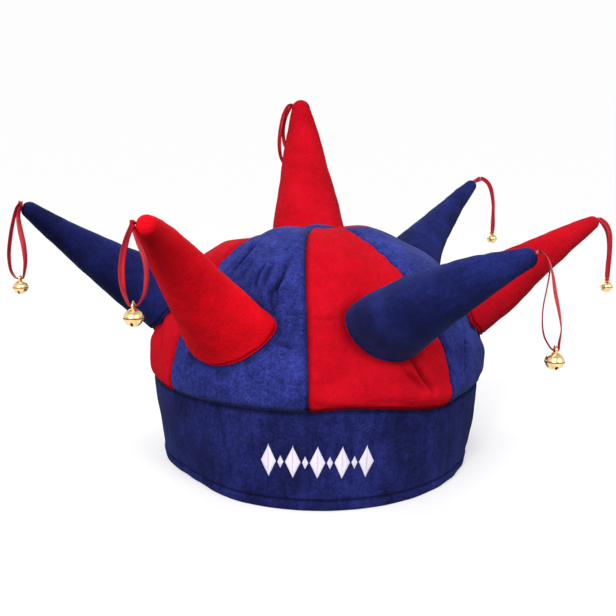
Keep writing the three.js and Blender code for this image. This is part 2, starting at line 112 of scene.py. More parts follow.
# A horn from its base, 0, to its tip, 1, and its radius from the tip's, 0, to the base's, 1
TAPER_ROWS = np.array([
    (0.0, 1.0), (0.035, 0.968), (0.075, 0.92), (0.145, 0.831), (0.29, 0.654),
    (0.467, 0.476), (0.643, 0.319), (0.789, 0.184), (0.913, 0.08), (1.0, 0.0),
])
# Dents of the rim: azimuth, spread, and depth as a share of the band's height
BAND_DENTS = ((-47, 24, 0.08), (152, 30, 0.05))

# Seams: azimuth at the band, and lean towards the apex
SEAMS = ((-53, 2), (-2, -14), (46.5, -30), (110, -6), (160, 0), (230, 2))
PANELS = (
    ("crown_front_left", "blue"), ("crown_front_right", "red"), ("crown_right", "blue"),
    ("crown_back_right", "red"), ("crown_back_left", "blue"), ("crown_left", "red"),
)

# Each horn's place, aim, bend and shape, its seam's side in radians, how much painted shade
# darkens its underside, after the photo, its cloth, and the way that its ribbon leaves it
HORN_COLUMNS = (
    "azimuth", "level", "heading", "pitch", "reach", "lift", "sway", "rise", "girth", "tip",
    "wide", "tall", "roll", "lens", "seam", "under", "cloth", "exit",
)
HORN_ROWS = {
    "left": (-86.5, 0.296, -46.2, 32.4, 0.904, 0.43, 0.045, -0.02, 1.107, 1.02,
             1.13, 0.89, 0, 0, 0.2, 0.62, "blue", (-0.6, -0.6, 0.53)),
    "front_left": (-28.65, 0.246, -13.4, 33.17, 0.955, 0.455, -0.07, 0.244, 0.974, 0.98,
                   1.215, 0.8, -18.3, 0.3, 1.95, 0.06, "red", (-0.93, -0.3, 0.2)),
    "front_right": (22.27, 0.275, 33.65, 26.02, 0.874, 0.922, -0.085, -0.112, 0.987, 1.02,
                    1.011, 0.775, 27, 0.12, 1.2, 0.12, "blue", (0.75, -0.4, 0.53)),
    "right": (85, 0.286, 118.1, 26.38, 1.023, 0.411, 0.091, 0.075, 1.017, 1.05,
              1.13, 0.86, 0, 0, 3.1, 0.2, "red", (0.8, 0.45, 0.4)),
    "back_right": (132, 0.395, 142.4, 32.6, 1.0, 0.314, 0.057, 0.039, 1.031, 1.02,
                   1.11, 0.98, 0, 0, 3.3, 0.25, "blue", (0.65, 0.35, 0.67)),
    "back_left": (185, 0.496, 190.9, 65.3, 1.01, 0.521, 0.021, 0.265, 1.335, 1.62,
                  0.95, 1.0, 0, 0, 4.7, 0.12, "red", (-0.85, 0.2, 0.49)),
}
HORNS = {name: dict(zip(HORN_COLUMNS, row)) for name, row in HORN_ROWS.items()}

# The points that each ribbon passes, down from its horn's tip and up again, from that tip
ROUTES = {
    "left": [
        (-2.4, -6.2, 3.4), (-4.0, -7.0, 1.2), (-5.7, -7.2, -4.3), (-7.6, -7.2, -12.7),
        (-8.9, -7.1, -21.7), (-8.5, -6.9, -29.5), (-6.5, -6.8, -33.2), (-4.7, -6.7, -34.0),
        (-2.7, -6.7, -34.0), (-1.7, -6.5, -31.9), (-0.8, -6.4, -25.7), (-1.4, -6.2, -17.7),
        (-2.9, -5.8, -10.0), (-3.9, -5.1, -3.3), (-3.2, -4.3, 1.7),
    ],
    "front_left": [
        (-4.8, -4.2, -0.3), (-6.5, -4.9, -4.8), (-8.0, -5.0, -11.0), (-8.6, -5.0, -17.3),
        (-8.1, -4.8, -23.9), (-6.8, -4.8, -27.8), (-5.5, -4.7, -29.4), (-3.5, -4.7, -29.4),
        (-1.6, -4.6, -27.6), (0.1, -4.6, -23.8), (0.7, -4.4, -17.9), (-0.2, -4.2, -11.5),
        (-2.3, -3.4, -6.3), (-4.2, -1.8, -1.3),
    ],
    "front_right": [
        (3.8, -5.2, 3.3), (5.9, -6.0, 0.9), (7.2, -6.3, -3.7), (6.7, -6.4, -10.1),
        (5.7, -6.5, -17.4), (5.7, -6.5, -23.7), (6.6, -6.4, -28.6), (8.3, -6.3, -31.9),
        (10.4, -6.2, -34.2), (12.4, -6.2, -34.2), (12.8, -6.1, -31.8), (13.3, -5.8, -26.2),
        (12.3, -5.4, -19.7), (10.7, -4.7, -12.6), (9.4, -3.8, -5.4), (7.7, -2.8, -0.2),
        (5.1, -1.8, 2.8),
    ],
    "right": [
        (6.5, 2.0, 2.0), (10.2, 1.6, -1.2), (12.4, 1.0, -6.9), (13.0, 0.3, -14.5),
        (13.0, 0.4, -23.2), (13.3, 2.0, -30.1), (14.2, 4.2, -35.2), (15.0, 5.2, -36.9),
        (15.0, 7.2, -36.9), (15.7, 8.0, -35.4), (16.2, 9.4, -29.1), (16.3, 10.1, -20.3),
        (15.4, 9.4, -12.1), (12.8, 7.4, -4.9), (7.7, 4.9, 0.9),
    ],
    "back_right": [
        (7.1, 1.4, 5.9), (12.1, 1.1, 3.7), (15.8, 0.5, -1.9), (17.6, 0.0, -11.2),
        (18.2, 0.6, -20.9), (18.7, 2.4, -29.9), (19.0, 3.8, -33.4), (19.4, 4.6, -34.8),
        (19.4, 6.6, -34.8), (20.0, 7.6, -32.8), (20.2, 9.0, -24.4), (19.7, 9.2, -14.6),
        (17.7, 8.0, -5.2), (14.0, 6.0, 1.8), (8.5, 4.3, 4.7),
    ],
    "back_left": [
        (-9.6, 1.2, 2.1), (-12.6, 0.5, -3.9), (-14.5, 0.4, -12.8), (-15.5, 0.7, -22.7),
        (-14.8, 1.5, -32.0), (-12.5, 2.3, -38.0), (-9.9, 3.0, -40.6), (-7.9, 3.0, -40.6),
        (-6.5, 3.8, -37.1), (-8.8, 4.2, -30.3), (-12.0, 4.0, -22.8), (-12.6, 3.7, -13.9),
        (-11.1, 3.2, -5.7), (-8.4, 2.6, 0.3),
    ],
}


def ease(start, end, at):
    share = np.clip((at - start) / (end - start), 0, 1)
    return share * share * (3 - 2 * share)


def hump(away, width):
    """1 where away is 0, and falling off softly over a width."""
    return np.exp(-(away / width) ** 2)


def angle_apart(one, other, turn=360):
    return np.abs((one - other + turn / 2) % turn - turn / 2)


def ring_angles(sides):
    return np.linspace(0, 2 * np.pi, sides, endpoint=False)


def run(steps):
    """How far along a line each point is, from the distances between its points."""
    return np.concatenate([[0], np.cumsum(steps)])


def rolled(horn, side, upright):
    """The two directions across a horn, turned by its roll."""
    roll = math.radians(horn["roll"])
    return (math.cos(roll) * side + math.sin(roll) * upright,
            math.cos(roll) * upright - math.sin(roll) * side)


def smooth(rows, at, column):
    """A smooth value between a table's rows, by their first column."""
    at = np.asarray(at, float)
    x, y = rows[:, 0], rows[:, column]
    slope = np.empty(len(x))
    slope[0] = (y[1] - y[0]) / (x[1] - x[0])
    slope[-1] = (y[-1] - y[-2]) / (x[-1] - x[-2])
    slope[1:-1] = (y[2:] - y[:-2]) / (x[2:] - x[:-2])
    i = np.clip(np.searchsorted(x, at, side="right") - 1, 0, len(x) - 2)
    step = x[i + 1] - x[i]
    t = np.clip((at - x[i]) / step, 0, 1)
    t2, t3 = t * t, t * t * t
    ends = (2 * t3 - 3 * t2 + 1) * y[i] + (3 * t2 - 2 * t3) * y[i + 1]
    return ends + step * ((t3 - 2 * t2 + t) * slope[i] + (t3 - t2) * slope[i + 1])


def unit(v):
    return v / np.maximum(np.linalg.norm(v, axis=-1, keepdims=True), 1e-12)


def waves(points, size, seed, count=14):
    """Smooth random relief from about -1 to 1, with bumps about size millimetres apart."""
    rng = np.random.default_rng(seed)
    ways = unit(rng.normal(size=(count, 3))) * rng.uniform(0.7, 1.4, (count, 1))
    phase = rng.uniform(0, 2 * np.pi, count)
    angle = points @ ways.T * (2 * np.pi / size) + phase
    return np.sin(angle).sum(-1) * (1.6 / count ** 0.5) / 2


def ripple(at, size, seed):
    """Random waves along a line, about size millimetres apart."""
    rng = np.random.default_rng(seed)
    total = np.zeros_like(at)
    for _ in range(5):
        total += np.sin(2 * np.pi * at / (size * rng.uniform(0.7, 1.5)) + rng.uniform(0, 6.28))
    return total / 2.6


def crown_base(azimuth, level):
    a = np.radians(azimuth)
    reach = smooth(CROWN_ROWS, level, 1)
    climb = smooth(CROWN_ROWS, level, 2) + 0 * a
    for centre, flat, spread, place, width, depth in CROWN_DENTS:
        fall = hump(level - place, width)
        climb = climb - depth * (1 - ease(flat, spread, angle_apart(azimuth, centre))) * fall
    back = -reach * CROWN_FRONT * np.cos(a) + APEX_BACK * (1 - reach)
    up = BAND_HEIGHT + CROWN_HEIGHT * climb
    return np.stack([reach * CROWN_SIDE * np.sin(a), back, up], -1)


def crown_normal(azimuth, level):
    turn, rise = 0.05, 0.001
    level = np.minimum(level, 0.999)
    low, high = np.maximum(level - rise, 0), np.minimum(level + rise, 1)
    across = crown_base(azimuth + turn, level) - crown_base(azimuth - turn, level)
    upward = crown_base(azimuth, high) - crown_base(azimuth, low)
    return unit(np.cross(across, upward))


def panel_edges(panel, level):
    start = SEAMS[panel]
    end = SEAMS[(panel + 1) % len(SEAMS)]
    turn = 360 if panel == len(SEAMS) - 1 else 0
    return start[0] + start[1] * level ** 2, end[0] + turn + end[1] * level ** 2


def puff(across, level):
    """How far a panel swells out between its seams."""
    swell = 1 - np.abs(2 * across - 1) ** 2.6
    return PANEL_PUFF * swell * ease(0, 0.16, level) * (1 - 0.8 * ease(0.7, 1, level))


def soft_lumps(points):
    """The unevenness of the crown's cloth."""
    return 0.8 * waves(points, 34, 3) + 0.3 * waves(points, 12, 4)


def panel_puff(azimuth, level):
    """How far the crown swells out at any place on its panels."""
    out = np.zeros_like(level)
    for panel in range(len(SEAMS)):
        start, end = panel_edges(panel, level)
        past = (azimuth - start) % 360
        out = np.where(past <= end - start, puff(past / (end - start), level), out)
    return out


def crown_point(azimuth, level):
    """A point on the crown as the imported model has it."""
    azimuth, level = np.array(azimuth, float), np.array(level, float)
    out = panel_puff(azimuth, level)
    return crown_base(azimuth, level) + crown_normal(azimuth, level) * out


def horn_line(horn):
    """A horn's base, the point that it bends towards, its tip, and the way out of the crown."""
    start = crown_point(horn["azimuth"], horn["level"])
    outward = crown_normal(np.array(float(horn["azimuth"])), np.array(horn["level"]))
    length = HORN_LENGTH * horn["reach"]
    heading, pitch, side = (math.radians(horn[name]) for name in ("heading", "pitch", "azimuth"))
    aim = np.array([
        math.cos(pitch) * math.sin(heading),
        -math.cos(pitch) * math.cos(heading),
        math.sin(pitch),
    ])
    sideways = np.array([math.cos(side), math.sin(side), 0.0])
    bend = start + length * (
        horn["lift"] * outward + horn["sway"] * sideways + horn["rise"] * np.array([0, 0, 1.0])
    )
    return start, bend, start + aim * length, outward


def make_object(name, points, faces, materials, uvs=None, indices=None, shade=None):
    """A mesh object from points in millimetres, riding on the hat's one body."""
    mesh = bpy.data.meshes.new(name)
    mesh.from_pydata([tuple(p) for p in to_row(points)], [], [tuple(f) for f in faces])
    mesh.validate()
    mesh.update()
    for material in materials:
        mesh.materials.append(material)
    if uvs is not None:
        layer = mesh.uv_layers.new(name="UVMap")
        corner = np.empty(len(mesh.loops), np.int32)
        mesh.loops.foreach_get("vertex_index", corner)
        layer.data.foreach_set("uv", np.asarray(uvs, np.float32)[corner].ravel())
    if indices is not None:
        mesh.polygons.foreach_set("material_index", indices)
    if shade is not None:
        layer = mesh.attributes.new("shade", "FLOAT_COLOR", "POINT")
        tone = np.repeat(np.asarray(shade, np.float32)[:, None], 4, 1)
        tone[:, 3] = 1
        layer.data.foreach_set("color", tone.ravel())
    mesh.polygons.foreach_set("use_smooth", [True] * len(mesh.polygons))
    obj = add_object(name, mesh)
    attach(obj, "root")
    return obj


def grid_faces(rows, columns, wrap=False, ring=False, start=0):
    """The quads of a grid, whose columns may join round with wrap, and its rows with ring."""
    i, j = np.meshgrid(np.arange(rows if ring else rows - 1),
                       np.arange(columns if wrap else columns - 1), indexing="ij")
    here, there, right = i * columns, (i + 1) % rows * columns, (j + 1) % columns
    quads = [here + j, here + right, there + right, there + j]
    return (np.stack(quads, -1).reshape(-1, 4) + start).tolist()


def tube_faces(rings, sides):
    """The faces of rings joined to a tube, and of its ends, which meet in the next two points."""
    faces = grid_faces(rings, sides, wrap=True)
    first, top = rings * sides, (rings - 1) * sides
    for i in range(sides):
        j = (i + 1) % sides
        faces += [[first, j, i], [first + 1, top + i, top + j]]
    return faces


def face_outward(mesh, hard=None):
    """Turns a closed mesh's faces outward, and keeps edges of a hard angle and more unsmoothed."""
    work = bmesh.new()
    work.from_mesh(mesh)
    bmesh.ops.recalc_face_normals(work, faces=work.faces)
    if hard is not None:
        for edge in work.edges:
            edge.smooth = len(edge.link_faces) == 2 and edge.calc_face_angle() < math.radians(hard)
    work.to_mesh(mesh)
    work.free()


class Nodes:
    """Short calls for building one material's nodes."""

    def __init__(self, name):
        self.material = bpy.data.materials.new(name)
        self.material.use_nodes = True
        self.tree = self.material.node_tree
        self.shader = self.tree.nodes["Principled BSDF"]
        self.coords = self.add("TexCoord")

    def add(self, kind):
        return self.tree.nodes.new("ShaderNode" + kind)

    def put(self, socket, value):
        if isinstance(value, bpy.types.NodeSocket):
            self.tree.links.new(value, socket)
        else:
            socket.default_value = value

    def set(self, **values):
        for name, value in values.items():
            self.put(self.shader.inputs[name.replace("_", " ")], value)

    def stretch(self, source, scale):
        node = self.add("Mapping")
        self.put(node.inputs["Vector"], self.coords.outputs[source])
        node.inputs["Scale"].default_value = scale
        return node.outputs[0]

    def noise(self, source, scale, detail=2.0, rough=0.5, stretch=(1, 1, 1)):
        node = self.add("TexNoise")
        self.put(node.inputs["Vector"], self.stretch(source, stretch))
        node.inputs["Scale"].default_value = scale
        node.inputs["Detail"].default_value = detail
        node.inputs["Roughness"].default_value = rough
        return node.outputs["Fac"]

    def ramp(self, value, *stops):
        """Stops of a place and a colour, or a place and a number for a grey."""
        node = self.add("ValToRGB")
        self.put(node.inputs["Fac"], value)
        elements = node.color_ramp.elements
        while len(elements) < len(stops):
            elements.new(0.5)
        for element, (place, colour) in zip(elements, stops):
            element.position = place
            element.color = (*(colour if isinstance(colour, tuple) else (colour,) * 3), 1)
        return node.outputs["Color"]

    def math(self, kind, one, other=0.0):
        node = self.add("Math")
        node.operation = kind
        self.put(node.inputs[0], one)
        self.put(node.inputs[1], other)
        return node.outputs[0]

    def mix(self, share, one, other, blend="MIX"):
        node = self.add("Mix")
        node.data_type = "RGBA"
        node.blend_type = blend
        self.put(node.inputs["Factor"], share)
        self.put(node.inputs["A"], one if not isinstance(one, tuple) else (*one, 1))
        self.put(node.inputs["B"], other if not isinstance(other, tuple) else (*other, 1))
        return node.outputs["Result"]

    def times(self, one, other):
        return self.mix(1.0, one, other, "MULTIPLY")

    def shaded(self, colour):
        """A colour times the mesh's painted shade."""
        form = self.add("Attribute")
        form.attribute_name = "shade"
        return self.times(colour, form.outputs["Color"])

    def bump(self, height, strength, distance):
        node = self.add("Bump")
        node.inputs["Strength"].default_value = strength
        node.inputs["Distance"].default_value = distance
        self.put(node.inputs["Height"], height)
        return node.outputs["Normal"]


def velour(name, deep, mid, light, mottle, sheen_tint, sheen, streaks):
    """Short-pile velour: brushed patches, fine mottling where the pile parts, and single hairs.

    The mesh gives "shade", painted shade below 1 in creases, seams, grooves, joins and undersides.
    """
    n = Nodes(name)
    patches = n.noise("Object", 46, 3, 0.5)
    clumps = n.noise("Object", 330, 3, 0.6)
    grain = n.noise("Object", 900, 2, 0.7)
    hairs = n.noise("UV", 1, 2, 0.6, (2200, 500, 1))
    brushed = n.noise("UV", 1, 3, 0.6, (260, 60, 1))
    colour = n.ramp(patches, (0.34, deep), (0.5, mid), (0.68, light))
    for value, amount in ((clumps, mottle * 0.6), (grain, mottle), (brushed, streaks)):
        colour = n.times(colour, n.ramp(value, (0.32, 1 - amount), (0.52, 1),
                                        (0.70, 1 + amount * 0.8)))
    pile = n.math("ADD", n.math("MULTIPLY", grain, 0.9), n.math("MULTIPLY", hairs, 0.5))
    pile = n.math("ADD", pile, n.math("MULTIPLY", clumps, 0.9))
    n.set(Base_Color=n.shaded(colour), Roughness=0.95, Normal=n.bump(pile, 0.6, 0.0007),
          Sheen_Weight=sheen, Sheen_Roughness=0.4, Sheen_Tint=(*sheen_tint, 1),
          Specular_IOR_Level=0.03)
    return n.material


def satin(name, colour, edge):
    """Satin ribbon: a smooth face with fine ribs across it, darker towards its edges."""
    n = Nodes(name)
    split = n.add("SeparateXYZ")
    n.put(split.inputs[0], n.coords.outputs["UV"])
    across = n.math("ABSOLUTE", n.math("SUBTRACT", split.outputs["X"], 0.5))
    toward_edge = n.ramp(across, (0.36, 0), (0.46, 1))
    threads = n.noise("UV", 1, 2, 0.5, (6, 2600, 1))
    cloudy = n.noise("UV", 1, 2, 0.5, (2, 160, 1))
    base = n.times(n.mix(toward_edge, colour, edge), n.ramp(cloudy, (0.3, 0.72), (0.7, 1.15)))
    n.set(Base_Color=base, Roughness=0.42, Normal=n.bump(threads, 0.35, 0.0001),
          Specular_IOR_Level=0.3)
    return n.material


def plated(name, bright, dull, rough):
    """Plated metal with faint smears and scuffs."""
    n = Nodes(name)
    smear = n.noise("Object", 700, 3, 0.6)
    scuff = n.noise("Object", 2600, 2, 0.7)
    n.set(Base_Color=n.ramp(smear, (0.35, dull), (0.6, bright)), Metallic=1.0,
          Roughness=n.ramp(scuff, (0.35, rough), (0.75, rough * 2)),
          Normal=n.bump(smear, 0.12, 0.0002))
    return n.material


def floss(name, colour, dim):
    """Glossy embroidery thread."""
    n = Nodes(name)
    fibre = n.noise("UV", 1, 3, 0.6, (3000, 12000, 1))
    n.set(Base_Color=n.shaded(n.ramp(fibre, (0.3, dim), (0.6, colour))), Roughness=0.5,
          Normal=n.bump(fibre, 0.3, 0.0001), Sheen_Weight=0.15)
    return n.material


RED = velour("velour_red", (0.385, 0.0020, 0.0085), (0.44, 0.0024, 0.0098),
             (0.48, 0.0030, 0.0115), 0.10, (1.0, 0.2, 0.2), sheen=0.02, streaks=0.06)
# Painted light: a brighter copy of the red for the front left horn, set after the photo
LIT_RED = velour("velour_red_painted_light", (0.62, 0.0024, 0.0090), (0.70, 0.0030, 0.0105),
                  (0.76, 0.0036, 0.0120), 0.08, (1.0, 0.2, 0.2), sheen=0.02, streaks=0.05)
BLUE = velour("velour_blue", (0.015, 0.019, 0.122), (0.021, 0.028, 0.172), (0.028, 0.038, 0.224),
              0.44, (0.5, 0.6, 1.0), sheen=0.08, streaks=0.18)
HORN_BLUE = velour("velour_horn_blue", (0.008, 0.011, 0.064), (0.011, 0.015, 0.098),
                   (0.014, 0.022, 0.140), 0.26, (0.4, 0.5, 1.0), sheen=0.06, streaks=0.12)
NAVY = velour("velour_navy", (0.007, 0.009, 0.050), (0.010, 0.012, 0.076), (0.014, 0.018, 0.112),
              0.36, (0.4, 0.5, 1.0), sheen=0.05, streaks=0.28)
SATIN = satin("satin_crimson", (0.50, 0.006, 0.018), (0.26, 0.003, 0.010))
BRASS = plated("bright_brass", (0.90, 0.69, 0.36), (0.72, 0.48, 0.19), 0.19)
# Painted shade: a dark brass for the inside of each bell and the groove of its crimp
SHADED_BRASS = plated("brass_painted_shade", (0.20, 0.11, 0.03), (0.10, 0.05, 0.015), 0.45)
STEEL = plated("steel", (0.55, 0.54, 0.52), (0.35, 0.34, 0.33), 0.25)
THREAD = floss("thread_white", (0.80, 0.75, 0.90), (0.58, 0.53, 0.70))


# Bells, in millimetres about their centre, and the least angle of their hard edges
BELL_RADIUS, BELL_HALF_HEIGHT, BELL_WALL = 3.65, 3.45, 0.4
EYE_RING, EYE_WIRE = 1.4, 0.4
SLOT_REACH, SLOT_HALF_WIDTH, SLOT_HEIGHTS = 2.75, 0.42, (-4.5, -1.15)
HOLE_RADIUS, HOLE_HALF_DEPTH, HOLE_DROP, HOLE_OUT = 0.6, 2.2, -1.9, 3.4
PEA_RADIUS, PEA_PLACE = 1.25, (0.5, 0.2, -1.72)
HARD_ANGLE = 38


def lathe(profile, sides):
    """A closed turned surface from (radius, height) pairs that start and end on the axis."""
    profile = np.array(profile)
    angle = ring_angles(sides)
    rings = profile[1:-1]
    x = rings[:, :1] * np.cos(angle)
    y = rings[:, :1] * np.sin(angle)
    z = np.repeat(rings[:, 1:], sides, 1)
    points = np.stack([x, y, z], -1).reshape(-1, 3)
    points = np.vstack([points, [0, 0, profile[0, 1]], [0, 0, profile[-1, 1]]])
    return points, tube_faces(len(rings), sides)


def ring_of_wire(major, minor, centre, sides=40, round_sides=12):
    """A ring whose hole faces along Y."""
    a, b = ring_angles(sides)[:, None], ring_angles(round_sides)[None, :]
    reach = major + minor * np.cos(b)
    points = np.stack([
        reach * np.cos(a), minor * np.sin(b) + 0 * a, reach * np.sin(a),
    ], -1).reshape(-1, 3) + centre
    return points, grid_faces(sides, round_sides, wrap=True, ring=True)


def temporary(name, points, faces):
    mesh = bpy.data.meshes.new(name)
    mesh.from_pydata([tuple(p) for p in points], [], faces)
    mesh.update()
    face_outward(mesh)
    return add_object(name, mesh)


def bell_shell():
    """Points, faces and material numbers of one bell, in millimetres about its own centre."""
    up = np.radians(np.linspace(90, 9, 16))
    outer = [(BELL_RADIUS * math.cos(a), BELL_HALF_HEIGHT * math.sin(a)) for a in up]
    outer[0] = (0.0, BELL_HALF_HEIGHT)
    crimp = [(3.76, 0.52), (3.87, 0.42), (3.9, 0.3), (3.84, 0.2), (3.58, 0.13),
             (3.58, -0.13), (3.84, -0.2), (3.9, -0.3), (3.87, -0.42), (3.76, -0.52)]
    lower = [(r, -z) for r, z in outer[::-1]]
    inside = np.radians(np.linspace(-90, 90, 24))
    hollow = [((BELL_RADIUS - BELL_WALL) * abs(math.cos(a)),
               (BELL_HALF_HEIGHT - BELL_WALL) * math.sin(a)) for a in inside]
    shell = temporary("bell_outside", *lathe(outer + crimp + lower, 72))
    void = temporary("bell_inside", *lathe(hollow, 48))
    slot_box = [(x, y, z) for x in (-SLOT_REACH, SLOT_REACH)
                for y in (-SLOT_HALF_WIDTH, SLOT_HALF_WIDTH) for z in SLOT_HEIGHTS]
    box_faces = [[0, 1, 3, 2], [4, 6, 7, 5], [0, 4, 5, 1], [2, 3, 7, 6], [0, 2, 6, 4], [1, 5, 7, 3]]
    slot = temporary("slot", slot_box, box_faces)
    cutters = [void, slot]
    for end in (-1, 1):
        high, low = HOLE_HALF_DEPTH, -HOLE_HALF_DEPTH
        turned, faces = lathe([(0, high), (HOLE_RADIUS, high), (HOLE_RADIUS, low), (0, low)], 20)
        way = Vector((end * SLOT_REACH, 0, HOLE_DROP)).normalized()
        turn = Vector((0, 0, 1)).rotation_difference(way).to_matrix()
        placed = [turn @ Vector(p) + way * HOLE_OUT for p in turned]
        cutters.append(temporary("slot_end", placed, faces))
    for cutter in cutters:
        modifier = shell.modifiers.new("cut", "BOOLEAN")
        modifier.operation = "DIFFERENCE"
        modifier.solver = "EXACT"
        modifier.object = cutter
    bpy.context.view_layer.update()
    cut = bpy.data.meshes.new_from_object(
        shell.evaluated_get(bpy.context.evaluated_depsgraph_get()))
    points = [np.array([v.co for v in cut.vertices])]
    faces = [list(p.vertices) for p in cut.polygons]
    slots = []
    for polygon in cut.polygons:
        centre = polygon.center
        inner = polygon.normal.dot(centre) < 0.2 or centre.length < 3.25
        groove = abs(centre.z) < 0.19 and math.hypot(centre.x, centre.y) < 3.82
        # Faces inside the bell or in the crimp's groove take the dark brass, painted shade
        slots.append(1 if inner or groove else 0)
    for obj in [shell, *cutters]:
        bpy.data.objects.remove(obj)

    def join(part, slot):
        start = sum(len(p) for p in points)
        points.append(np.asarray(part[0]))
        faces.extend([[v + start for v in f] for f in part[1]])
        slots.extend([slot] * len(part[1]))

    join(ring_of_wire(EYE_RING, EYE_WIRE, np.array([0, 0, EYE_HEIGHT])), 0)
    join(lathe([(0, 3.75), (0.55, 3.75), (0.8, 3.6), (1.05, 3.38), (1.05, 3.2), (0, 3.2)], 24), 0)
    pea, pea_faces = lathe([(PEA_RADIUS * abs(math.cos(a)), PEA_RADIUS * math.sin(a))
                            for a in np.radians(np.linspace(90, -90, 12))], 18)
    join((pea + np.array(PEA_PLACE), pea_faces), 2)
    return np.vstack(points), faces, slots


BELL = bell_shell()


def add_bell(name, centre, turn):
    points, faces, slots = BELL
    c, s = math.cos(turn), math.sin(turn)
    spin = np.array([[c, -s, 0], [s, c, 0], [0, 0, 1.0]])
    bell = make_object("brass_bell_" + name, points @ spin.T + centre, faces,
                       [BRASS, SHADED_BRASS, STEEL], indices=slots)
    face_outward(bell.data, HARD_ANGLE)
    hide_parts("bell_" + name)
    return bell


# Ribbons, in millimetres, and the steps between two points of a route
RIBBON_WIDTH, RIBBON_THICK, RIBBON_STEPS = 3.0, 0.32, 7
# Turn of the ribbon's face down one strand and up the other, and the side that it faces unturned
RIBBON_TURNS = {
    "left": (13, -30, (0, 1, 0)), "front_left": (40, -24, (0, 1, 0)),
    "front_right": (17, -36, (0, 1, 0)), "right": (46, -52, (1, 0, 0)),
    "back_right": (52, -56, (1, 0, 0)), "back_left": (26, -18, (0.6, 0.8, 0)),
}
STRAND_SPREAD, STRAND_LEAD, RIBBON_GAP, RIBBON_TUCK = 0.55, 0.9, 0.1, 1.9


def ribbon_points(name):
    """The route that the source gives the ribbon, from the horn's tip and back to it."""
    horn = HORNS[name]
    end = horn_line(horn)[2]
    way = unit(np.array(horn["exit"]))
    apart = unit(np.cross(way, [0, 0, 1.0]))
    route = end + np.array(ROUTES[name])
    spread = np.sign((route[0] - route[-1]) @ apart) * STRAND_SPREAD
    seat = end + way * (TIP_RADIUS * horn["tip"] + RIBBON_GAP)
    down, back = seat + apart * spread, seat - apart * spread
    tuck = way * RIBBON_TUCK
    lead = way * STRAND_LEAD
    line = np.vstack([down - tuck, down + lead, route, back + lead, back - tuck])
    lowest = np.argsort(route[:, 2], kind="stable")[:2]
    hang = route[lowest].mean(0)
    along = route[lowest[1]] - route[lowest[0]]
    return line, seat, hang, math.atan2(along[1], along[0]) + math.pi / 2


def through(points, steps):
    """A smooth line through points, with steps from each to the next."""
    padded = np.vstack([2 * points[0] - points[1], points, 2 * points[-1] - points[-2]])
    out = []
    for i in range(1, len(padded) - 2):
        p0, p1, p2, p3 = padded[i - 1:i + 3]
        for t in np.linspace(0, 1, steps, endpoint=False):
            out.append(0.5 * (2 * p1 + (p2 - p0) * t + (2 * p0 - 5 * p1 + 4 * p2 - p3) * t ** 2
                              + (3 * p1 - p0 - 3 * p2 + p3) * t ** 3))
    out.append(points[-1])
    return np.array(out)


def add_ribbon(name):
    points, seat, hang, turn = ribbon_points(name)
    line = through(points, RIBBON_STEPS)
    tangent = unit(np.gradient(line, axis=0))
    travel = run(np.linalg.norm(np.diff(line, axis=0), axis=1))
    bottom = travel[np.argmin(np.linalg.norm(line - hang, axis=1))]
    first, second, facing = RIBBON_TURNS[name]
    past = (travel - bottom) / np.where(travel < bottom, bottom, travel[-1] - bottom)
    angle = np.where(past < 0, first * ease(0, 0.35, -past), second * ease(0, 0.35, past))
    angle = angle * (1 - 0.45 * ease(0.55, 0.95, np.abs(past)))
    angle = np.radians(angle + 5 * ripple(travel, 26, 5) * ease(0, 0.3, np.abs(past)))
    flat = unit(facing - (tangent @ np.array(facing))[:, None] * tangent)
    edge = np.cross(tangent, flat)
    wide = np.cos(angle)[:, None] * flat + np.sin(angle)[:, None] * edge
    thick = np.cross(tangent, wide)
    gather = hump(travel - bottom, 2.6)
    sewn = np.maximum(ease(5, 0.5, travel), ease(5, 0.5, travel[-1] - travel))
    width = RIBBON_WIDTH * (1 - 0.46 * gather) * (1 - 0.25 * sewn)
    depth = RIBBON_THICK * (1 + 1.7 * gather + 0.2 * sewn)
    share = np.linspace(-1, 1, 7)
    rows = []
    for i in range(len(line)):
        bow = 0.3 * (1 - gather[i]) * (share ** 2 - 0.4)
        rim = np.sqrt(np.clip(1 - np.abs(share) ** 6, 0.08, 1)) * depth[i] / 2
        middle = line[i] + np.outer(share * width[i] / 2, wide[i])
        upper, lower = (middle + np.outer(rise, thick[i]) for rise in (bow + rim, bow - rim))
        rows.append(np.vstack([upper, lower[::-1]]))
    sides = 2 * len(share)
    faces = grid_faces(len(rows), sides, wrap=True)
    faces.append(list(range(sides))[::-1])
    faces.append([(len(rows) - 1) * sides + i for i in range(sides)])
    across = np.concatenate([(share + 1) / 2, (share[::-1] + 1) / 2])
    uvs = np.stack(np.meshgrid(across, travel * MM), -1).reshape(-1, 2)
    ribbon = make_object("satin_loop_" + name, np.vstack(rows), faces, [SATIN], uvs)
    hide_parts("ribbon_" + name)
    bell = add_bell(name, hang - np.array([0, 0, EYE_HEIGHT]), turn)


for name in HORNS:
    add_ribbon(name)


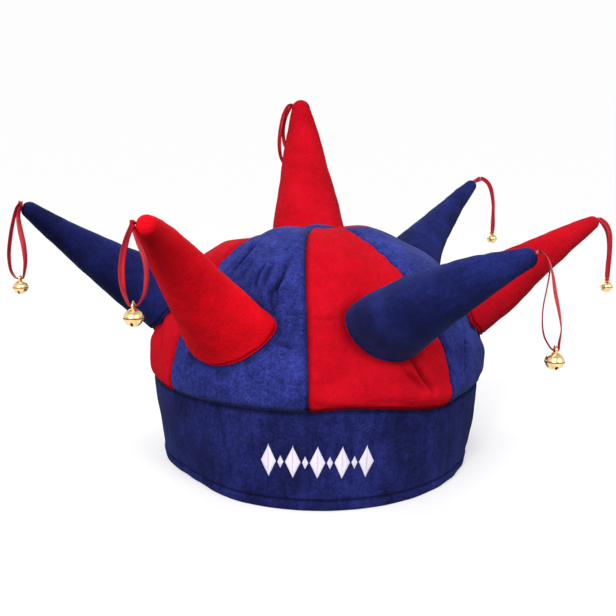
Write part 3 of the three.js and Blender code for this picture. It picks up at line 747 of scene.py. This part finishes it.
# Creases in the crown: (azimuth, level) points, depth and half-width in millimetres
CREASES = (
    (((-15.3, 0.331), (-16.7, 0.367), (-17.1, 0.392), (-16.2, 0.412), (-14.5, 0.446),
      (-13.9, 0.49), (-13.7, 0.528)), 2.8, 1.6),
    (((-14.5, 0.352), (-14.7, 0.381), (-15.1, 0.402), (-15.4, 0.425)), 1.6, 1.2),
    (((-23.5, 0.392), (-24.4, 0.43), (-24.5, 0.464), (-23.2, 0.49)), 1.8, 1.5),
    (((-25.7, 0.397), (-26.3, 0.429), (-26.1, 0.456)), 0.9, 1.2),
    (((-37.8, 0.439), (-36.7, 0.484), (-35.7, 0.528), (-36.9, 0.579), (-37.0, 0.605)), 1.7, 1.7),
    (((-41.6, 0.451), (-39.5, 0.478), (-38.9, 0.5)), 0.9, 1.4),
    (((-31.5, 0.42), (-31.0, 0.47), (-30.0, 0.52)), 1.0, 1.6),
    (((-20.4, 0.40), (-20.6, 0.45), (-19.4, 0.5)), 1.0, 1.6),
    (((-10.4, 0.334), (-6.9, 0.327), (-3.6, 0.334)), 2.0, 1.4),
    (((-8.2, 0.308), (-5.9, 0.31), (-3.6, 0.319)), 0.9, 1.2),
    (((-12.2, 0.229), (-9.3, 0.223), (-7.0, 0.212)), 1.4, 1.5),
    (((-31.8, 0.113), (-28.8, 0.106), (-26.1, 0.115)), 1.5, 2.6),
    (((-47.9, 0.084), (-44.5, 0.055)), 1.0, 1.8),
    (((29.4, 0.172), (31.4, 0.13), (33.2, 0.101), (36.7, 0.066)), 2.0, 1.6),
    (((27.0, 0.13), (30.2, 0.098), (33.4, 0.067)), 1.2, 1.6),
    (((-2.2, 0.315), (2.6, 0.309), (6.5, 0.313)), 0.8, 1.7),
    (((62.0, 0.25), (57.0, 0.17), (54.0, 0.09)), 1.1, 1.8),
    (((100.0, 0.42), (106.0, 0.5), (107.0, 0.57)), 1.2, 1.7),
    (((104.0, 0.4), (110.5, 0.47)), 0.9, 1.4),
    (((120.0, 0.2), (123.0, 0.13), (124.0, 0.07)), 1.1, 1.8),
    (((150.0, 0.26), (153.0, 0.18), (154.0, 0.12)), 1.0, 1.7),
    (((158.0, 0.33), (150.0, 0.32)), 1.0, 1.4),
    (((176.0, 0.33), (172.0, 0.24), (171.0, 0.15)), 1.5, 1.9),
    (((181.0, 0.32), (179.0, 0.22), (178.0, 0.13)), 0.9, 1.6),
    (((205.0, 0.33), (211.0, 0.24), (213.0, 0.16)), 1.4, 1.9),
    (((243.0, 0.4), (240.0, 0.5), (239.0, 0.58)), 1.2, 1.7),
    (((249.0, 0.42), (247.0, 0.5)), 0.9, 1.4),
    (((262.0, 0.14), (256.0, 0.09)), 1.1, 1.7),
    (((292.0, 0.22), (297.0, 0.13)), 1.1, 1.7),
)


def near_line(points, line):
    """Distance from each point to a line of points, and how far along it that is, 0 to 1."""
    best = np.full(len(points), 1e9)
    along = np.zeros(len(points))
    pieces = len(line) - 1
    for i in range(pieces):
        way = line[i + 1] - line[i]
        t = np.clip((points - line[i]) @ way / (way @ way), 0, 1)
        away = np.linalg.norm(points - line[i] - t[:, None] * way, axis=1)
        along = np.where(away < best, (i + t) / pieces, along)
        best = np.minimum(best, away)
    return best, along


def crease_relief(points):
    """The creases' relief, and the painted shade in them."""
    relief = np.zeros(len(points))
    shade = np.ones(len(points))
    for places, depth, width in CREASES:
        line = crown_base(*np.array(places, float).T)
        away, along = near_line(points, line)
        fade = 0.3 + 0.7 * np.sin(np.pi * np.clip(along, 0.02, 0.98)) ** 0.6
        valley = hump(away, 0.7 * width)
        lips = hump(away - 2.0 * width, 0.95 * width)
        relief += depth * fade * (0.42 * lips - valley)
        # Painted shade in each crease's valley
        shade *= 1 - min(0.62, 0.34 * depth) * fade * valley
    return relief, shade


def horn_relief(points):
    """The pull and the small radial puckers round each horn's sewn base, and the painted shade
    there.
    """
    relief = np.zeros(len(points))
    shade = np.ones(len(points))
    for number, horn in enumerate(HORNS.values()):
        start, _, _, outward = horn_line(horn)
        side = unit(np.cross(outward, [0, 0, 1.0]))
        side, upright = rolled(horn, side, np.cross(side, outward))
        base = HORN_BASE * horn["girth"]
        offset = points - start
        x = offset @ side / (base * horn["wide"])
        y = offset @ upright / (base * horn["tall"])
        near = ease(30, 16, np.abs(offset @ outward))
        away = (np.hypot(x, y) - 1) * base
        outside = np.clip(away, 0, None)
        pucker = ripple(np.arctan2(y, x) * base, 12, 40 + number) * np.exp(-outside / 9)
        relief += near * (-1.3 * hump(away, 3.6) + 0.5 * pucker * (away > -4))
        # Painted shade round each horn's base
        shade *= 1 - 0.4 * near * hump(outside, 2.0)
    return relief, shade


# Rows and columns of the two panels in front, and of the others
FINE_PANELS = ("crown_front_left", "crown_front_right")
FINE_GRID, PLAIN_GRID = (210, 140), (130, 84)
# Depth and half-width of the seams between the panels, and of the one above the band
SEAM_DEPTH, SEAM_HALF_WIDTH = 1.7, 1.3
BAND_SEAM_DEPTH, BAND_SEAM_HALF_WIDTH = 1.9, 1.4
# How far a panel's lower edge bulges over the band, in millimetres
BOTTOM_BULGE = {"crown_front_right": 2.3, "crown_left": 1.6, "crown_right": 1.2}
PLAIN_BULGE = 0.8
SEAM_RISE = np.array([
    (-180, 0.0), (-60, 0.0), (-12, 0.0), (-3, 0.2), (6, 1.4), (14, 1.5), (22, 0.5), (30, -1.2),
    (38, -2.6), (44, -3.0), (49, -1.6), (56, -0.3), (64, 0.0), (180, 0.0),
])


def seam_rise(azimuth):
    """How much higher than its mean height the seam above the band lies."""
    turned = (np.asarray(azimuth, float) + 180) % 360 - 180
    return smooth(SEAM_RISE, turned, 1)


def add_panel(number):
    name, colour = PANELS[number]
    rows, columns = FINE_GRID if name in FINE_PANELS else PLAIN_GRID
    t = np.linspace(0, 1, columns)
    across = 0.6 * t + 0.4 * (0.5 - 0.5 * np.cos(np.pi * t))
    s = np.linspace(0, 1, rows)
    level = np.clip(0.8 * s + 0.2 * s ** 1.6, 0, 0.9995)
    u, v = np.meshgrid(across, level)
    start, end = panel_edges(number, v)
    azimuth = start + (end - start) * u
    flat_points = crown_base(azimuth, v)
    normal = crown_normal(azimuth, v)
    # Distances on the cloth in millimetres: to the seams on both sides, and up from the band
    wide = np.radians(end - start) * smooth(CROWN_ROWS, v, 1) * CROWN_FRONT
    to_left, to_right = u * wide, (1 - u) * wide
    edge = np.minimum(to_left, to_right)
    climb = run(np.linalg.norm(np.diff(crown_base(np.full(rows, 20.0), level), axis=0), axis=1))
    height = np.repeat(climb[:, None], columns, 1)
    open_top = 1 - ease(0.86, 0.99, v)
    # The seams, their puckers and rolls, and the bulge over the band
    out = puff(u, v)
    out -= SEAM_DEPTH * hump(edge, SEAM_HALF_WIDTH) * (0.35 + 0.65 * open_top)
    out += 0.45 * hump(edge - 3.6, 2.2) * open_top
    pucker_left = ripple(height, 9, 11 + number) * np.exp(-to_left / 7)
    pucker_right = ripple(height, 9, 12 + (number + 1) % 6) * np.exp(-to_right / 7)
    out += 0.36 * (pucker_left + pucker_right) * open_top * ease(0.3, 2.5, edge)
    ring = np.radians(azimuth) * CROWN_FRONT
    out -= BAND_SEAM_DEPTH * hump(height, BAND_SEAM_HALF_WIDTH)
    out += 0.42 * ripple(ring, 14, 30 + number) * np.exp(-height / 9) * ease(0, 3, height)
    out += BOTTOM_BULGE.get(name, PLAIN_BULGE) * hump(height - 6, 5.0)
    body = flat_points.reshape(-1, 3)
    lumps = soft_lumps(body).reshape(u.shape)
    out += lumps * ease(0, 4, edge) * open_top * ease(0, 5, height)
    shaped = flat_points + normal * out[..., None]
    creases, crease_shade = crease_relief(body)
    pulls, pull_shade = horn_relief(body)
    more = (creases + pulls).reshape(u.shape)
    shaped += normal * (more * ease(0, 2, edge) * ease(0, 3, height))[..., None]
    shaped[..., 2] += seam_rise(azimuth) * np.exp(-height / 16)
    shaped[0, :, 2] -= 1.4
    # Painted shade along the seams between the panels and along the seam above the band
    seam_shade = 1 - 0.55 * hump(edge, 0.8) * open_top
    seam_shade *= 1 - 0.5 * hump(height, 1.3)
    shade = (crease_shade * pull_shade).reshape(u.shape) * seam_shade
    # The cloth's inner side, and a rim of faces that joins the two
    inner = flat_points - normal * CROWN_WALL
    tuck = ease(0, 2.5, edge)[..., None]
    inner = shaped * (1 - tuck) + inner * tuck - normal * (0.9 * (1 - tuck[..., 0]))[..., None]
    count = rows * columns
    faces = grid_faces(rows, columns)
    faces += [f[::-1] for f in grid_faces(rows, columns, start=count)]
    border = list(range(columns))
    border += [i * columns + columns - 1 for i in range(1, rows)]
    border += [(rows - 1) * columns + j for j in range(columns - 2, -1, -1)]
    border += [i * columns for i in range(rows - 2, 0, -1)]
    for a, b in zip(border, border[1:] + border[:1]):
        faces.append([b, a, a + count, b + count])
    uvs = np.stack([(u - 0.5) * wide * MM + number, height * MM], -1).reshape(-1, 2)
    points = np.vstack([shaped.reshape(-1, 3), inner.reshape(-1, 3)])
    cloth = {"blue": BLUE, "red": RED}[colour]
    panel = make_object("cloth_" + name, points, faces, [cloth], np.vstack([uvs, uvs]),
                        shade=np.concatenate([shade.ravel(), np.ones(count)]))
    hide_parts(name)


for panel_number in range(len(PANELS)):
    add_panel(panel_number)


def band_point(azimuth, height, out):
    """The band's outer line, as in the source."""
    share = np.clip(height / BAND_HEIGHT, 0, 1.1)
    swell = BAND_SWELL * np.sin(np.pi * share)
    seam = CROWN_ROWS[0, 1]
    side = RIM_SIDE + (CROWN_SIDE * seam - RIM_SIDE) * share + swell
    front = RIM_FRONT + (CROWN_FRONT * seam - RIM_FRONT) * share + swell
    dent = 0.0
    for place, spread, depth in BAND_DENTS:
        fall = 1 - ease(0, spread, angle_apart(azimuth, place))
        dent = dent + depth * BAND_HEIGHT * fall * (1 - share)
    a = np.radians(azimuth)
    return np.stack([
        (side + out - dent) * np.sin(a), -(front + out - dent) * np.cos(a), height + 0 * a,
    ], -1)


def band_skin(azimuth, height, out=0.0):
    """The band's outer face with the soft unevenness of its cloth."""
    plain = band_point(azimuth, height, 0.0)
    flat = plain.reshape(-1, 3)
    lift = (0.55 * waves(flat, 46, 21) + 0.2 * waves(flat, 15, 22)).reshape(np.shape(azimuth))
    lift = lift * ease(HEM_HEIGHT, HEM_HEIGHT + 8, height)
    return band_point(azimuth, height, lift + out)


# The hem's section: height, and how far out of the band it stands
HEM_ROWS = [
    (0.0, -1.0), (0.12, -0.45), (0.4, 0.05), (0.9, 0.5), (1.6, 0.8), (2.5, HEM_PROUD),
    (3.4, 0.85), (4.1, 0.65), (4.5, 0.3), (4.75, -0.25), (5.0, -0.75), (5.25, -0.55),
    (5.6, -0.1), (6.2, 0.12), (7.0, 0.1),
]
# The band's mean half-width, which turns an angle into a length round it, and its steps round
BAND_REACH, BAND_STEPS = 95, 420


def add_band():
    top = BAND_HEIGHT - 0.2
    body = [(z, 0.0) for z in np.linspace(8, top - 2.4, 36)]
    edge = [(top - 1.6, -0.05), (top - 1.0, -0.25), (top - 0.5, -0.65), (top - 0.15, -1.2),
            (top, -1.9)]
    inside = [(top, -BAND_WALL), (top - 1.5, -BAND_WALL)]
    inside += [(z, -BAND_WALL) for z in np.linspace(top - 6, 7, 8)]
    inside += [(5.2, -BAND_WALL + 0.15), (5.0, -BAND_WALL - 0.1), (4.6, -BAND_WALL - 0.3),
               (1.2, -BAND_WALL - 0.2), (0.35, -BAND_WALL + 0.2), (0.0, -BAND_WALL + 0.8)]
    section = np.array(HEM_ROWS + body + edge + inside)
    steps = BAND_STEPS
    azimuth = np.linspace(0, 360, steps, endpoint=False)
    rows = []
    for number, (height, out) in enumerate(section):
        is_inside = number >= len(section) - len(inside)
        level = np.full(steps, height)
        hem_wave = 0.16 * ripple(np.radians(azimuth) * BAND_REACH, 17, 61) * float(0.3 < height < 6)
        line = band_skin(azimuth, level, out + (0 if is_inside else hem_wave))
        line[:, 2] += seam_rise(azimuth) * ease(BAND_HEIGHT - 26, BAND_HEIGHT, height)
        rows.append(line)
    last = (len(rows) - 1) * steps
    faces = grid_faces(len(rows), steps, wrap=True)
    for j in range(steps):
        k = (j + 1) % steps
        faces.append([last + j, j, k, last + k])
    uvs = np.meshgrid(np.radians(azimuth) * (BAND_REACH / 1000), section[:, 0] * MM)
    # Painted shade in the hem's groove and at the band's top, under the crown's edge
    dark = 1 - 0.6 * hump(section[:, 0] - HEM_HEIGHT, 0.42) * (section[:, 1] > -1.5)
    dark *= 1 - 0.55 * ease(BAND_HEIGHT - 2.6, BAND_HEIGHT - 0.6, section[:, 0])
    band = make_object("cloth_band", np.vstack(rows), faces, [NAVY],
                       np.stack(uvs, -1).reshape(-1, 2), shade=np.repeat(dark, steps))
    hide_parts("band")


add_band()


def crown_form(rows=90, columns=240):
    """The crown with its soft lumps, without seams or creases, to set the horns on."""
    level, turn = np.meshgrid(np.linspace(0, 0.97, rows),
                              np.linspace(0, 360, columns, endpoint=False), indexing="ij")
    out = panel_puff(turn, level)
    flat = crown_base(turn, level)
    body = flat.reshape(-1, 3)
    soft = soft_lumps(body) + horn_relief(body)[0]
    return flat + crown_normal(turn, level) * (out + soft.reshape(out.shape) - 0.2)[..., None]


form = crown_form()
crown_tree = BVHTree.FromPolygons(
    [Vector(p) for p in form.reshape(-1, 3)], grid_faces(*form.shape[:2], wrap=True))


def above_crown(point):
    place, normal, _, _ = crown_tree.find_nearest(Vector(point))
    return (Vector(point) - place).dot(normal)


def onto_crown(point, lift):
    place, normal, _, _ = crown_tree.find_nearest(Vector(point))
    return np.array(place + normal * lift)


def horn_ring(horn, line, at, angles, swell=0.0):
    """A ring round a horn. at runs in millimetres below 0, and to 1 at the tip's centre above."""
    start, bend, end, outward = line
    base, tip = HORN_BASE * horn["girth"], TIP_RADIUS * horn["tip"]
    s = np.clip(at, 0, 1)[:, None]
    centre = (1 - s) ** 2 * start + 2 * s * (1 - s) * bend + s * s * end
    centre = centre + outward * np.minimum(at, 0)[:, None]
    tangent = unit(2 * (1 - s) * (bend - start) + 2 * s * (end - bend))
    settle = ease(0, 0.3, s)
    facing = unit((1 - settle) * outward + settle * tangent)
    radius = tip + (base - tip) * smooth(TAPER_ROWS, s[:, 0], 1) + swell
    side = unit(np.cross(facing, [0, 0, 1.0]))
    side, upright = rolled(horn, side, unit(np.cross(side, facing)))
    wide, tall = (radius * (horn[name] + (1 - horn[name]) * settle[:, 0])
                  for name in ("wide", "tall"))
    sine = np.sin(angles)
    power = 1 + horn["lens"] * (1 - settle[:, 0])
    height = np.sign(sine) * np.abs(sine) ** power
    return centre + (wide * np.cos(angles))[:, None] * side + (tall * height)[:, None] * upright


def contact(horn, line, angles):
    """Where each side of a horn comes out of the crown."""
    length = HORN_LENGTH * horn["reach"]
    tries = np.concatenate([np.linspace(-12, -0.5, 24), np.linspace(0, 0.3, 50)])
    found = []
    for angle in angles:
        ring = horn_ring(horn, line, tries, np.full(len(tries), angle))
        heights = np.array([above_crown(p) for p in ring])
        inside = np.nonzero(heights < 0)[0]
        i = inside[-1] if len(inside) else 0
        if i + 1 < len(tries):
            share = heights[i] / (heights[i] - heights[i + 1])
            found.append(tries[i] + (tries[i + 1] - tries[i]) * float(np.clip(share, 0, 1)))
        else:
            found.append(tries[i])
    found = np.array(found)
    found = np.where(found < 0, found / length, found)
    for _ in range(3):
        found = (np.roll(found, 1) + 2 * found + np.roll(found, -1)) / 4
    return found


# Width of the turned-under hem round a horn's base in millimetres, the width of cloth round a
# horn in its texture in metres, and its sides
HEM_WIDTH, HORN_ROUND, HORN_SIDES = 2.6, 0.09, 80
# Rows of a horn, as shares from its base to its tip, and of its round end, in degrees
HORN_SHARES = np.concatenate([
    [0, 0.003, 0.007, 0.012, 0.017, 0.022, 0.027, 0.032, 0.037, 0.042, 0.048, 0.055],
    np.linspace(0.065, 1, 86)])
CAP_ANGLES = (14, 28, 42, 55, 67, 78)
# The bottom of a horn, just above the crown: shares of its radius, and its painted shade
SOLE_SHARES, SOLE_LIFT, SOLE_SHADE = (0.9, 0.65, 0.35), 0.1, 0.5


def add_horn(name):
    horn = HORNS[name]
    line = horn_line(horn)
    _, bend, end, _ = line
    length = HORN_LENGTH * horn["reach"]
    number = list(HORNS).index(name)
    angles = ring_angles(HORN_SIDES)
    start = contact(horn, line, angles)
    rows, shades = [], []
    for share in HORN_SHARES:
        at = start + (1 - start) * share
        travel = share * (1 - start) * length
        tuck = -2.2 * hump(travel, 0.55) - 0.55 * hump(travel, 1.5)
        groove = -0.8 * hump(travel - HEM_WIDTH, 0.5)
        roll = 0.3 * hump(travel - HEM_WIDTH / 2, 0.9)
        seam_away = angle_apart(angles, horn["seam"], 2 * np.pi)
        seam_away = seam_away * (TIP_RADIUS + (HORN_BASE - TIP_RADIUS) * (1 - share) ** 1.5)
        seam = -0.55 * hump(seam_away, 1.0)
        seam = seam + 0.2 * ripple(travel, 8, 70 + number) * np.exp(-seam_away / 6)
        fade = ease(1.0, 0.88, share)
        seam = seam * fade
        # Painted shade along the seam, the underside, the hem's groove and where the horn meets the
        # crown
        dark = 1 - 0.32 * fade * hump(seam_away, 0.6)
        dark = dark * (1 - horn["under"] * (0.5 - 0.5 * np.sin(angles)) ** 1.5)
        dark = dark * (1 - 0.62 * hump(travel - HEM_WIDTH, 0.45))
        shades.append(dark * (1 - 0.55 * hump(travel, 0.8)))
        at_mm = np.where(at < 0, at * length, at)
        ring = horn_ring(horn, line, at_mm, angles)
        lumps = 0.42 * waves(ring, 38, 80 + number) + 0.22 * waves(ring, 13, 90 + number)
        lumps = lumps * (0.35 + 0.65 * (1 - share)) * ease(2, 9, travel) * fade
        rows.append(horn_ring(horn, line, at_mm, angles, tuck + groove + roll + seam + lumps))
    tip = TIP_RADIUS * horn["tip"]
    ahead = unit(end - bend)
    rim = rows[-1]
    for angle in np.radians(CAP_ANGLES):
        shades.append(shades[-1])
        rows.append(end + (rim - end) * math.cos(angle) + ahead * tip * math.sin(angle))
    sole = rows[0]
    middle = sole.mean(0)
    for share in SOLE_SHARES:
        rows.insert(0, np.array([onto_crown(middle + (p - middle) * share, SOLE_LIFT)
                                 for p in sole]))
        shades.insert(0, np.full(HORN_SIDES, SOLE_SHADE))
    points = np.vstack(rows + [[onto_crown(middle, SOLE_LIFT)], [end + ahead * tip]])
    travel = run([np.linalg.norm(b - a, axis=1).mean() for a, b in zip(rows, rows[1:])])
    uvs = np.meshgrid(angles / (2 * np.pi) * HORN_ROUND + number, travel * MM)
    uvs = np.vstack([np.stack(uvs, -1).reshape(-1, 2), [[number, 0], [number, travel[-1] * MM]]])
    # The front left horn takes the brighter copy of the red, painted light
    red = LIT_RED if name == "front_left" else RED
    cloth = {"blue": HORN_BLUE, "red": red}[horn["cloth"]]
    obj = make_object("stuffed_horn_" + name, points, tube_faces(len(rows), HORN_SIDES), [cloth],
                      uvs, shade=np.concatenate([*shades, [SOLE_SHADE, 1.0]]))
    face_outward(obj.data)
    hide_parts("horn_" + name)


for name in HORNS:
    add_horn(name)


# The embroidered row: its middle, the lozenges' places, half-width and half-height, the width of a
# thread and the rows that show it, and the band's radius of bend in front
ROW_AZIMUTH, ROW_HEIGHT = 0.9, 22.4
LOZENGES = [(x, 4.2, 7.2) for x in (-25.2, -12.6, 0, 12.6, 25.2)]
LOZENGES += [(x, 1.7, 2.9) for x in (-18.9, -6.3, 6.3, 18.9)]
THREAD_WIDTH, ROWS_A_THREAD, FRONT_BEND = 0.42, 4, 98.5


def add_embroidery():
    points, faces, uvs, shades = [], [], [], []
    u = np.linspace(-1, 1, 17)[None, :]
    for x, half_wide, half_tall in LOZENGES:
        rows = max(2, int(2 * half_tall / THREAD_WIDTH)) * ROWS_A_THREAD + 1
        v = np.linspace(-1, 1, rows)[:, None]
        reach = half_wide * np.clip(1 - np.abs(v), 0.04, 1)
        along = v * half_tall + 0.5 * (1 - np.abs(u)) * half_wide * 0.35
        thread = 0.5 + 0.5 * np.cos(2 * np.pi * (np.arange(rows)[:, None] / ROWS_A_THREAD))
        crest = np.clip(1 - np.abs(u) ** 3, 0, 1) * (1 - 0.45 * hump(u, 0.09))
        lift = (0.15 + 0.8 * crest * np.clip(1.6 * (1 - np.abs(v)), 0.2, 1) ** 0.5
                + 0.13 * thread * (np.abs(u) < 0.97))
        lift = np.where(np.abs(u) > 0.99, -0.25, lift)
        place = x + reach * u
        height = ROW_HEIGHT + along + 0 * u
        body = band_skin(ROW_AZIMUTH + np.degrees(place / FRONT_BEND), height, lift)
        faces += grid_faces(*body.shape[:2], start=sum(len(p) for p in points))
        points.append(body.reshape(-1, 3))
        # Painted shade between the threads, along each lozenge's middle and at its edges
        dip = (0.62 + 0.38 * thread) * (1 - 0.35 * hump(u, 0.1))
        shades.append(np.where(np.abs(u) > 0.93, 0.55, dip).ravel())
        uvs.append(np.stack([place * MM, height * MM], -1).reshape(-1, 2))
    make_object("embroidered_lozenges", np.vstack(points), faces, [THREAD], np.vstack(uvs),
                shade=np.concatenate(shades))


add_embroidery()


# The paper round the hat, in metres: where its floor ends, its bend and the top of its wall
FLOOR_RADIUS, BEND_RADIUS, WALL_RADIUS, WALL_HEIGHT = 2.6, 0.8, 3.4, 2.6


def add_tent():
    """A pale paper floor that turns up into a pale wall all round."""
    profile = [(radius, 0.0) for radius in (0.35, 0.7, 1.3, 2.1, FLOOR_RADIUS)]
    profile += [(FLOOR_RADIUS + BEND_RADIUS * math.sin(a), BEND_RADIUS - BEND_RADIUS * math.cos(a))
                for a in np.radians(np.linspace(8, 90, 12))]
    profile += [(WALL_RADIUS, WALL_HEIGHT)]
    sides = 96
    angle = ring_angles(sides)
    points = [(0, 0, 0)]
    for radius, height in profile:
        points += [(radius * math.cos(a), radius * math.sin(a), height) for a in angle]
    faces = [[0, 1 + j, 1 + (j + 1) % sides] for j in range(sides)]
    faces += [f[::-1] for f in grid_faces(len(profile), sides, wrap=True, start=1)]
    mesh = bpy.data.meshes.new("floor")
    mesh.from_pydata(points, [], faces)
    mesh.polygons.foreach_set("use_smooth", [True] * len(mesh.polygons))
    n = Nodes("pale_paper")
    tone = n.noise("Object", 9, 2, 0.5)
    away = n.add("VectorMath")
    away.operation = "LENGTH"
    n.put(away.inputs[0], n.coords.outputs["Object"])
    distance = n.math("MULTIPLY", away.outputs["Value"], 0.5)
    glow = n.ramp(distance, (0.1, 0.42), (0.42, 0.97))
    paper = n.ramp(distance, (0.1, (0.56, 0.56, 0.565)), (0.42, 0.02))
    n.set(Base_Color=n.times(paper, n.ramp(tone, (0.3, 0.97), (0.7, 1))), Roughness=0.9,
          Specular_IOR_Level=0.05, Emission_Color=glow, Emission_Strength=1.0)
    mesh.materials.append(n.material)
    floor = add_object("floor", mesh)
    floor.visible_diffuse = False


# Lights: name, place and size in metres, and power in watts, all aimed at one point in the hat
LIGHTS = (
    ("key", (-0.45, -1.35, 0.8), 0.6, 19.0), ("fill", (1.05, -1.0, 0.6), 0.9, 9.5),
    ("top", (-0.25, 0.1, 1.45), 0.9, 4.4), ("low", (-0.6, -1.2, 0.16), 0.7, 5.0),
    ("back", (-0.4, 1.4, 0.9), 0.9, 6.0),
)
AIM = (0, 0, 0.07)


def add_light(name, place, size, power):
    data = bpy.data.lights.new(name, "AREA")
    data.shape = "DISK"
    data.size = size
    data.energy = power
    light = add_object(name, data)
    light.location = place
    light.rotation_euler = (Vector(AIM) - Vector(place)).to_track_quat("-Z", "Y").to_euler()


add_tent()
for light in LIGHTS:
    add_light(*light)
world = bpy.data.worlds.new("world")
world.use_nodes = True
nodes, links = world.node_tree.nodes, world.node_tree.links
way = nodes.new("ShaderNodeTexCoord")
split = nodes.new("ShaderNodeSeparateXYZ")
sky = nodes.new("ShaderNodeValToRGB")
links.new(way.outputs["Generated"], split.inputs[0])
links.new(split.outputs["Z"], sky.inputs["Fac"])
links.new(sky.outputs["Color"], nodes["Background"].inputs["Color"])
for stop, place, colour in zip(sky.color_ramp.elements, (0.0, 0.25),
                               ((0.16, 0.165, 0.18, 1), (0.66, 0.67, 0.69, 1))):
    stop.position, stop.color = place, colour
bpy.context.scene.world = world
bpy.context.scene.view_settings.view_transform = "Standard"
